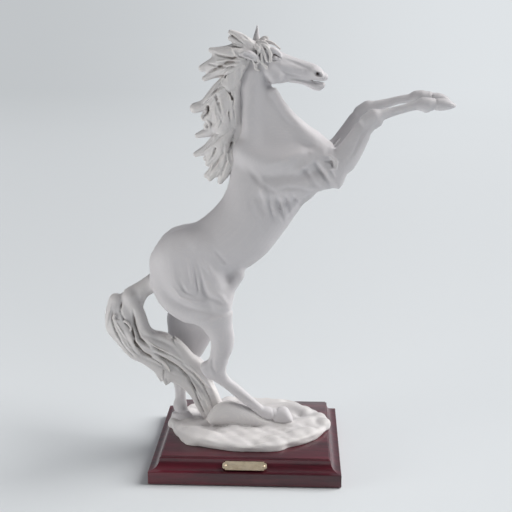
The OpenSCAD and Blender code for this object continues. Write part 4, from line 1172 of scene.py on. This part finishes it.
def resin(name, light, shade, shade_and_dirt, shade_and_dirt_start, strength):
    """White cast resin, darker and browner down in the hollows as painted shade with brown dirt,
    and lighter on raised skin as a painted highlight.
    """
    made, n, shader = material(name)
    stone = use_group(n, "Cast stone", stone_group)
    mark = n.add("ShaderNodeAttribute", attribute_name="hollow").outputs["Fac"]
    # painted shade with brown dirt: the deeper in a hollow, the more the resin darkens
    deep = n.ramp(mark, shade_and_dirt_start, 0.98)
    # painted highlight: raised, open skin is lightened
    raised_highlight = n.ramp(mark, 0.22, 0.48, 1.0, 0.0)
    base = n.blend(stone.outputs["Cloud"], (*shade, 1), (*light, 1))
    rim = n.math("MULTIPLY", raised_highlight, 0.35)
    base = n.blend(rim, base, (min(light[0] * 1.08, 1), min(light[1] * 1.06, 1),
                               min(light[2] * 1.03, 1), 1))
    # the painted shade and dirt of the hollows, laid over the resin
    deep = n.math("MULTIPLY", deep, strength)
    colour = n.blend(deep, base, (*shade_and_dirt, 1))
    n.link(colour, shader.inputs["Base Color"])
    n.link(n.ramp(stone.outputs["Grain"], 0.3, 0.7, 0.5, 0.66),
           shader.inputs["Roughness"])
    shader.inputs["Specular IOR Level"].default_value = 0.35
    height = n.math("ADD", n.math("MULTIPLY", stone.outputs["Grain"], 0.3),
                    stone.outputs["Tool"])
    n.link(n.bump(height, 0.25, 0.0006), shader.inputs["Normal"])
    return made


def lacquer(name, dark, red):
    """Dark red-brown wood under a clear gloss coat."""
    made, n, shader = material(name)
    wood = use_group(n, "Wood grain", grain_group)
    figure = n.ramp(wood.outputs["Figure"], 0.3, 0.7)
    colour = n.blend(figure, (*dark, 1), (*red, 1))
    pores = n.ramp(wood.outputs["Pores"], 0.62, 0.7, 0.0, 0.5)
    colour = n.blend(pores, colour, (dark[0] * 0.4, dark[1] * 0.4, dark[2] * 0.4, 1))
    n.link(colour, shader.inputs["Base Color"])
    n.link(n.ramp(wood.outputs["Pores"], 0.3, 0.7, 0.28, 0.4),
           shader.inputs["Roughness"])
    shader.inputs["Coat Weight"].default_value = 0.5
    shader.inputs["Coat Roughness"].default_value = 0.16
    n.link(n.bump(wood.outputs["Figure"], 0.08, 0.0004), shader.inputs["Normal"])
    return made


def raw_wood(name, dark, pale):
    """Bare timber, dull and unfinished."""
    made, n, shader = material(name)
    wood = use_group(n, "Wood grain", grain_group)
    n.link(n.blend(wood.outputs["Figure"], (*dark, 1), (*pale, 1)),
           shader.inputs["Base Color"])
    n.link(n.ramp(wood.outputs["Pores"], 0.3, 0.7, 0.6, 0.8),
           shader.inputs["Roughness"])
    return made


def metal(name, colour, dull, rough):
    """Metal with fine scratches and a soft tarnish."""
    made, n, shader = material(name)
    place = n.add("ShaderNodeTexCoord").outputs["Object"]
    tarnish = n.noise(place, 160, 4, 0.6)
    n.link(n.blend(n.ramp(tarnish, 0.4, 0.75), (*colour, 1), (*dull, 1)),
           shader.inputs["Base Color"])
    n.link(n.ramp(n.noise(place, 700, 2), 0.3, 0.7, rough, rough + 0.15),
           shader.inputs["Roughness"])
    shader.inputs["Metallic"].default_value = 1.0
    return made


def felt(name, dark, pale):
    """Woven pad with a soft nap."""
    made, n, shader = material(name)
    place = n.add("ShaderNodeTexCoord").outputs["Object"]
    fibre = n.noise(place, 1500, 5, 0.7)
    n.link(n.blend(fibre, (*dark, 1), (*pale, 1)), shader.inputs["Base Color"])
    n.link(n.ramp(fibre, 0.3, 0.7, 0.9, 1.0), shader.inputs["Roughness"])
    n.link(n.bump(fibre, 0.6, 0.0005), shader.inputs["Normal"])
    shader.inputs["Sheen Weight"].default_value = 0.3
    return made


# ---- plinth -----------------------------------------------------------------------
# Upright band, step in to the cove, and lip at the top of each rail
RAIL_BAND = 0.0135
RAIL_STEP = 0.001
RAIL_LIP = 0.0015
COVE_STEPS = 16
SHARP_FROM = math.radians(35)


def box_piece(low, high, bevel):
    """A block between two corners with its edges eased."""
    bm = bmesh.new()
    low, high = Vector(low), Vector(high)
    bmesh.ops.create_cube(bm, size=1.0)
    bmesh.ops.scale(bm, vec=high - low, verts=bm.verts)
    bmesh.ops.translate(bm, vec=(low + high) / 2, verts=bm.verts)
    bmesh.ops.bevel(bm, geom=list(bm.edges), offset=bevel, offset_type="OFFSET",
                    segments=3, profile=0.5, affect="EDGES", material=-1)
    return bm


def rail_profile(half, inner, low, high):
    """Half width and height points round a rail, cove and lip included."""
    band = low + RAIL_BAND
    radius = high - RAIL_LIP - band
    points = [(inner, low), (half, low), (half, band)]
    for k in range(COVE_STEPS + 1):
        a = math.radians(90 * k / COVE_STEPS)
        points.append((half - RAIL_STEP - radius * math.sin(a),
                       band + radius * (1 - math.cos(a))))
    points += [(half - RAIL_STEP - radius, high), (inner, high)]
    return points


def moulding(profile, half_length, turn, bevel):
    """A mitred rail: the profile drawn out along X and cut at 45 degrees."""
    bm = bmesh.new()
    outer = max(p[0] for p in profile)
    ring = [bm.verts.new((-(half_length - (outer - p[0])), -p[0], p[1])) for p in profile]
    face = bm.faces.new(ring)
    drawn = bmesh.ops.extrude_face_region(bm, geom=[face])
    for v in drawn["geom"]:
        if isinstance(v, bmesh.types.BMVert):
            v.co.x = half_length - (outer + v.co.y)
    bmesh.ops.recalc_face_normals(bm, faces=bm.faces)
    sharp = [e for e in bm.edges if len(e.link_faces) == 2
             and e.calc_face_angle() > math.radians(40)
             and abs(e.verts[0].co.x - e.verts[1].co.x) > 0.05
             and min(-e.verts[0].co.y, -e.verts[1].co.y) > min(p[0] for p in profile) + 0.001]
    bmesh.ops.bevel(bm, geom=sharp, offset=bevel, offset_type="OFFSET", segments=3,
                    profile=0.5, affect="EDGES", material=-1)
    bmesh.ops.rotate(bm, cent=(0, 0, 0), matrix=Matrix.Rotation(turn, 3, "Z"),
                     verts=bm.verts)
    return bm


# ---- settings ---------------------------------------------------------------------
def shade_prop(name, text, value):
    """A colour that the panel shows."""
    return FloatVectorProperty(name=name, description=text, default=value,
                               subtype="COLOR", min=0.0, max=1.0)


class StatuetteSizes(bpy.types.PropertyGroup):
    body_cell: FloatProperty(
        name="Body cell", description="Fineness of the horse's skin, in millimetres",
        default=1.06, min=1.05, max=3.0)
    edge_ease: FloatProperty(
        name="Edge easing", description="Rounding of the plinth's wooden edges",
        default=0.0006, min=0.0001, max=0.002, unit="LENGTH")
    hair_cell: FloatProperty(
        name="Hair cell", description="Fineness of the mane's skin, in millimetres",
        default=0.55, min=0.5, max=2.0)


class StatuetteColours(bpy.types.PropertyGroup):
    resin_light: shade_prop("Resin", "White of the cast resin", (0.64, 0.620, 0.632))
    resin_shade: shade_prop("Resin shade", "Clouded resin", (0.58, 0.562, 0.575))
    resin_warm: shade_prop("Warm resin", "Warmer resin of the hair and ground",
                           (0.72, 0.695, 0.675))
    # Brown-grey of the painted shade and dirt in the hollows
    resin_hollow_shade_and_dirt: shade_prop("Resin hollows", "Tone down in the hollows",
                           (0.12, 0.088, 0.070))
    wood_dark: shade_prop("Lacquer dark", "Dark of the plinth", (0.042, 0.005, 0.010))
    wood_red: shade_prop("Lacquer red", "Red of the plinth", (0.115, 0.011, 0.022))
    brass: shade_prop("Brass", "Nameplate and inserts", (0.93, 0.80, 0.60))
    floor: shade_prop("Floor", "Studio floor", (0.75, 0.78, 0.80))
    backdrop: shade_prop("Backdrop", "Studio air beyond the floor", (0.645, 0.672, 0.694))


# ---- operators --------------------------------------------------------------------
CARRIED = ("neck_dowel", "head_dowel", "right_foreleg_dowel", "left_foreleg_dowel",
           "right_hind_dowel", "left_hind_dowel", "tail_dowel", "right_foot_pin",
           "left_foot_pin", "tail_foot_pin", "ground_inserts", "fixing_screws",
           "fixing_washers", "corner_blocks", "bottom_board", "board_screws",
           "felt_pad", "nameplate", "nameplate_pins")
# Where the painted shade and dirt begin to show in the hollows, and how strong they are
RESIN_HOLLOW_SHADE_AND_DIRT = {"skin": (0.74, 0.35), "head": (0.62, 0.97),
              "hair": (0.61, 0.72), "ground": (0.60, 0.6)}
AIM = (0.0077, 0.0, 0.2232)
LENS = 71.95
VIEW_YAW = 2.3
VIEW_PITCH = 12.73
VIEW_ROLL = 0.155
VIEW_DISTANCE = 1.1002
SUN_FROM = (0.90, 0.14, 0.82)
SUN_POWER = 3.5
SUN_SPREAD = 50
# How bright the backdrop is at the left and right, and the room behind the camera
BACKDROP_SIDES = (0.83, 1.15)
FRONT_DIM = 0.22
LIGHTS = [
    ("low_fill", (-0.95, -0.50, 0.22), 0.5, 4.2, (1.0, 0.985, 0.96)),
]


def settings():
    """The sizes and colours set in the panel."""
    scene = bpy.context.scene
    return scene.statuette_sizes, scene.statuette_colours


def resin_material(kind):
    """Resin for the skin, head, hair or ground, each with its own painted shade and dirt in the
    hollows.
    """
    _, c = settings()
    made = bpy.data.materials.get("resin_" + kind)
    if made is None:
        start, strength = RESIN_HOLLOW_SHADE_AND_DIRT[kind]
        light = c.resin_warm if kind in ("hair", "ground") else c.resin_light
        made = resin("resin_" + kind, tuple(light), tuple(c.resin_shade),
                     tuple(c.resin_hollow_shade_and_dirt), start, strength)
    return made


class STATUETTE_OT_body(bpy.types.Operator):
    """Barrel, neck and four legs, modelled as one and parted at the joints"""
    bl_idname = "statuette.body"
    bl_label = "Body and legs"

    def execute(self, context):
        clay = body_clay(settings()[0].body_cell)
        bm = clay.skin()
        skin = resin_material("skin")
        cut_block(bm, "tail").free()
        for joint, name in (("right_fore", "right_foreleg"), ("left_fore", "left_foreleg"),
                            ("left_hind", "left_hind_leg"), ("right_hind", "right_hind_leg"),
                            ("neck", "neck_casting")):
            part = cut_block(bm, joint)
            if joint == "neck":
                cut_block(part, "head").free()
            close_cut(part)
            add_piece(part, name + "_sculpt", [name], skin, clay)
        close_cut(bm)
        add_piece(bm, "torso_sculpt", ["torso_casting"], skin, clay)
        return {"FINISHED"}


class STATUETTE_OT_head(bpy.types.Operator):
    """Head with its eyes, nostrils, lips and ears, at a finer grain"""
    bl_idname = "statuette.head"
    bl_label = "Head"

    def execute(self, context):
        clay = Clay((-26, -24, 352), (90, 24, 442), 0.5)
        neck_clay(clay)
        head_clay(clay)
        bm = clay.skin()
        part = cut_block(bm, "head")
        bm.free()
        close_cut(part)
        add_piece(part, "head_sculpt", ["head_casting"],
                  resin_material("head"), clay, 1.8, 1.1)
        return {"FINISHED"}


class STATUETTE_OT_mane(bpy.types.Operator):
    """Three falls of the mane"""
    bl_idname = "statuette.mane"
    bl_label = "Mane"

    def execute(self, context):
        for name, (fall, low, high) in MANES.items():
            clay = mane_clay(fall, low, high, settings()[0].hair_cell)
            bm = clay.skin()
            close_cut(bm)
            add_piece(bm, name + "_sculpt", [name], resin_material("hair"),
                      clay, 2.2, 1.0)
        return {"FINISHED"}


class STATUETTE_OT_forelock(bpy.types.Operator):
    """Forelock and its ringlets"""
    bl_idname = "statuette.forelock"
    bl_label = "Forelock"

    def execute(self, context):
        clay = forelock_clay()
        bm = clay.skin()
        close_cut(bm, whole=False)
        add_piece(bm, "forelock_sculpt", ["forelock_casting"],
                  resin_material("hair"), clay, 1.6, 0.8)
        return {"FINISHED"}


class STATUETTE_OT_tail(bpy.types.Operator):
    """The long corded tail that props the figure"""
    bl_idname = "statuette.tail"
    bl_label = "Tail"

    def execute(self, context):
        clay = tail_clay()
        bm = clay.skin()
        cut_block(bm, "dock").free()
        keep_island(bm, (-150, -8, 120))
        close_cut(bm)
        add_piece(bm, "tail_sculpt", ["tail_casting"],
                  resin_material("hair"), clay, 2.4, 1.2)
        return {"FINISHED"}


class STATUETTE_OT_ground(bpy.types.Operator):
    """The rocky oval under the hooves"""
    bl_idname = "statuette.ground"
    bl_label = "Ground"

    def execute(self, context):
        clay = ground_clay()
        bm = clay.skin()
        close_cut(bm)
        add_piece(bm, "ground_sculpt", ["ground_casting"],
                  resin_material("ground"), clay, 2.6, 1.2)
        return {"FINISHED"}


def add_wood(bm, name, wood):
    """A finished piece of the plinth, smooth but for its arrises."""
    piece = add_piece(bm, name + "_wood", [name], wood)
    piece.data.shade_smooth()
    piece.data.set_sharp_from_angle(angle=SHARP_FROM)


class STATUETTE_OT_plinth(bpy.types.Operator):
    """Four mitred cove rails and the sunk top panel, in gloss lacquer"""
    bl_idname = "statuette.plinth"
    bl_label = "Plinth"

    def execute(self, context):
        s, c = settings()
        wood = lacquer("lacquered_wood", tuple(c.wood_dark), tuple(c.wood_red))
        low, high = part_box("front_moulding")
        left_low, left_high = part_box("left_moulding")
        half_d, half_w = -low.y, -left_low.x
        inner_d, inner_w = -high.y, -left_high.x
        for name, half, inner, length, turn in (
                ("front_moulding", half_d, inner_d, half_w, 0),
                ("right_moulding", half_w, inner_w, half_d, 90),
                ("back_moulding", half_d, inner_d, half_w, 180),
                ("left_moulding", half_w, inner_w, half_d, 270)):
            profile = rail_profile(half, inner, low.z, high.z)
            bm = moulding(profile, length, math.radians(turn), s.edge_ease)
            add_wood(bm, name, wood)
        low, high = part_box("top_panel")
        bm = box_piece(low, high, s.edge_ease)
        add_wood(bm, "top_panel", wood)
        return {"FINISHED"}


class STATUETTE_OT_fittings(bpy.types.Operator):
    """Finishes for the nameplate, fixings, boards, dowels and felt"""
    bl_idname = "statuette.fittings"
    bl_label = "Nameplate and fittings"

    def execute(self, context):
        _, c = settings()
        brass = metal("brass", tuple(c.brass), (0.80, 0.66, 0.46), 0.40)
        steel = metal("steel", (0.60, 0.60, 0.59), (0.42, 0.42, 0.42), 0.35)
        bare = raw_wood("bare_wood", (0.42, 0.28, 0.16), (0.60, 0.44, 0.27))
        pad = felt("green_felt", (0.010, 0.035, 0.018), (0.03, 0.09, 0.05))
        finishes = {"nameplate": brass, "nameplate_pins": brass, "ground_inserts": brass,
                    "corner_blocks": bare, "bottom_board": bare, "felt_pad": pad}
        for name in CARRIED:
            node = bpy.data.objects[name]
            node.data.materials.clear()
            node.data.materials.append(finishes.get(name, steel))
        return {"FINISHED"}


class STATUETTE_OT_stage(bpy.types.Operator):
    """Studio floor, soft lights and the camera"""
    bl_idname = "statuette.stage"
    bl_label = "Stage"

    def execute(self, context):
        _, c = settings()
        scene = context.scene
        bm = bmesh.new()
        bmesh.ops.create_circle(bm, cap_ends=True, segments=96, radius=40.0)
        mesh = bpy.data.meshes.new("floor")
        bm.to_mesh(mesh)
        bm.free()
        floor = bpy.data.objects.new("floor", mesh)
        scene.collection.objects.link(floor)
        made, n, shader = material("studio_floor")
        place = n.add("ShaderNodeTexCoord").outputs["Object"]
        cloud = n.noise(place, 1.5, 2)
        pale = tuple(c.floor)
        parts = n.add("ShaderNodeSeparateXYZ")
        n.link(place, parts.inputs[0])
        away = n.math("ABSOLUTE", n.math("ADD", parts.outputs["Y"], 1.07))
        away = n.math("MAXIMUM", away, 0.2)
        aside = n.math("DIVIDE", n.math("SUBTRACT", parts.outputs["X"], 0.05), away)
        distance = n.add("ShaderNodeVectorMath", operation="LENGTH")
        n.link(place, distance.inputs[0])
        far = n.ramp(distance.outputs["Value"], 0.5, 7.0)
        near = n.blend(cloud, tuple(v * 0.985 for v in pale) + (1,), (*pale, 1))
        # painted shade: the floor is darker to the left, where the studio light falls off
        near = n.blend(n.ramp(aside, -0.29, 0.21), tuple(v * 0.88 for v in pale) + (1,), near)
        # painted light: far off, the floor turns black and glows in the backdrop colour, brighter
        # to the right
        n.link(n.blend(far, near, (0, 0, 0, 1)), shader.inputs["Base Color"])
        glow = n.ramp(aside, -0.29, 0.21, *BACKDROP_SIDES)
        n.link(n.math("MULTIPLY", far, glow), shader.inputs["Emission Strength"])
        shader.inputs["Emission Color"].default_value = (*c.backdrop, 1)
        n.link(n.ramp(far, 0, 0.6, 0.3, 0.0), shader.inputs["Specular IOR Level"])
        shader.inputs["Roughness"].default_value = 0.85
        mesh.materials.append(made)
        world = bpy.data.worlds.new("studio")
        world.use_nodes = True
        sky = world.node_tree.nodes["Background"]
        air = Nodes(world.node_tree)
        way = air.add("ShaderNodeSeparateXYZ")
        air.link(air.add("ShaderNodeTexCoord").outputs["Generated"], way.inputs[0])
        high = air.ramp(way.outputs["Z"], 0.04, 0.22)
        air.link(air.blend(high, (*c.backdrop, 1), (0.30, 0.31, 0.335, 1)),
                 sky.inputs["Color"])
        behind = air.ramp(way.outputs["Y"], -0.5, 0.35, 1 - FRONT_DIM, 0.0)
        front = air.math("SUBTRACT", 1.0, air.math("MULTIPLY", high, behind))
        sides = air.ramp(way.outputs["X"], -0.28, 0.205, *BACKDROP_SIDES)
        air.link(air.math("MULTIPLY", front, sides), sky.inputs["Strength"])
        scene.world = world
        sun = bpy.data.lights.new("sun", "SUN")
        sun.energy = SUN_POWER
        sun.angle = math.radians(SUN_SPREAD)
        sun.color = (1.0, 0.99, 0.975)
        holder = bpy.data.objects.new("sun", sun)
        holder.rotation_euler = (-Vector(SUN_FROM)).to_track_quat("-Z", "Y").to_euler()
        scene.collection.objects.link(holder)
        for name, spot, size, power, tint in LIGHTS:
            lamp = bpy.data.lights.new(name, "AREA")
            lamp.shape = "DISK"
            lamp.size = size
            lamp.energy = power
            lamp.color = tint
            holder = bpy.data.objects.new(name, lamp)
            holder.location = spot
            aim = Vector(AIM) - Vector(spot)
            holder.rotation_euler = aim.to_track_quat("-Z", "Y").to_euler()
            scene.collection.objects.link(holder)
        camera = bpy.data.cameras.new("camera")
        camera.sensor_width = 36.0
        camera.lens = LENS
        camera.clip_end = 200.0
        eye = bpy.data.objects.new("camera", camera)
        yaw, pitch = math.radians(VIEW_YAW), math.radians(VIEW_PITCH)
        ahead = Vector((-math.sin(yaw) * math.cos(pitch),
                        math.cos(yaw) * math.cos(pitch), -math.sin(pitch)))
        eye.location = Vector(AIM) - ahead * VIEW_DISTANCE
        turn = ahead.to_track_quat("-Z", "Y").to_matrix()
        roll = Matrix.Rotation(math.radians(VIEW_ROLL), 3, "Z")
        eye.rotation_euler = (turn @ roll).to_euler()
        scene.collection.objects.link(eye)
        scene.camera = eye
        scene.view_settings.view_transform = "Standard"
        return {"FINISHED"}


class STATUETTE_PT_panel(bpy.types.Panel):
    """Statuette pieces in the order they are made"""
    bl_label = "Rearing horse"
    bl_idname = "STATUETTE_PT_panel"
    bl_space_type = "VIEW_3D"
    bl_region_type = "UI"
    bl_category = "Statuette"

    def draw(self, context):
        scene = context.scene
        for data in (scene.statuette_sizes, scene.statuette_colours):
            for key in data.__annotations__:
                self.layout.prop(data, key)
        for maker in OPERATORS:
            self.layout.operator(maker.bl_idname)


OPERATORS = (STATUETTE_OT_body, STATUETTE_OT_head, STATUETTE_OT_mane,
             STATUETTE_OT_forelock, STATUETTE_OT_tail, STATUETTE_OT_ground,
             STATUETTE_OT_plinth, STATUETTE_OT_fittings, STATUETTE_OT_stage)
CLASSES = (StatuetteSizes, StatuetteColours) + OPERATORS + (STATUETTE_PT_panel,)


def register():
    for item in CLASSES:
        bpy.utils.register_class(item)
    bpy.types.Scene.statuette_sizes = PointerProperty(type=StatuetteSizes)
    bpy.types.Scene.statuette_colours = PointerProperty(type=StatuetteColours)


def unregister():
    del bpy.types.Scene.statuette_colours
    del bpy.types.Scene.statuette_sizes
    for item in reversed(CLASSES):
        bpy.utils.unregister_class(item)


def main():
    """Makes every piece in order."""
    register()
    for maker in OPERATORS:
        space, name = maker.bl_idname.split(".")
        getattr(getattr(bpy.ops, space), name)()


if __name__ == "__main__":
    main()
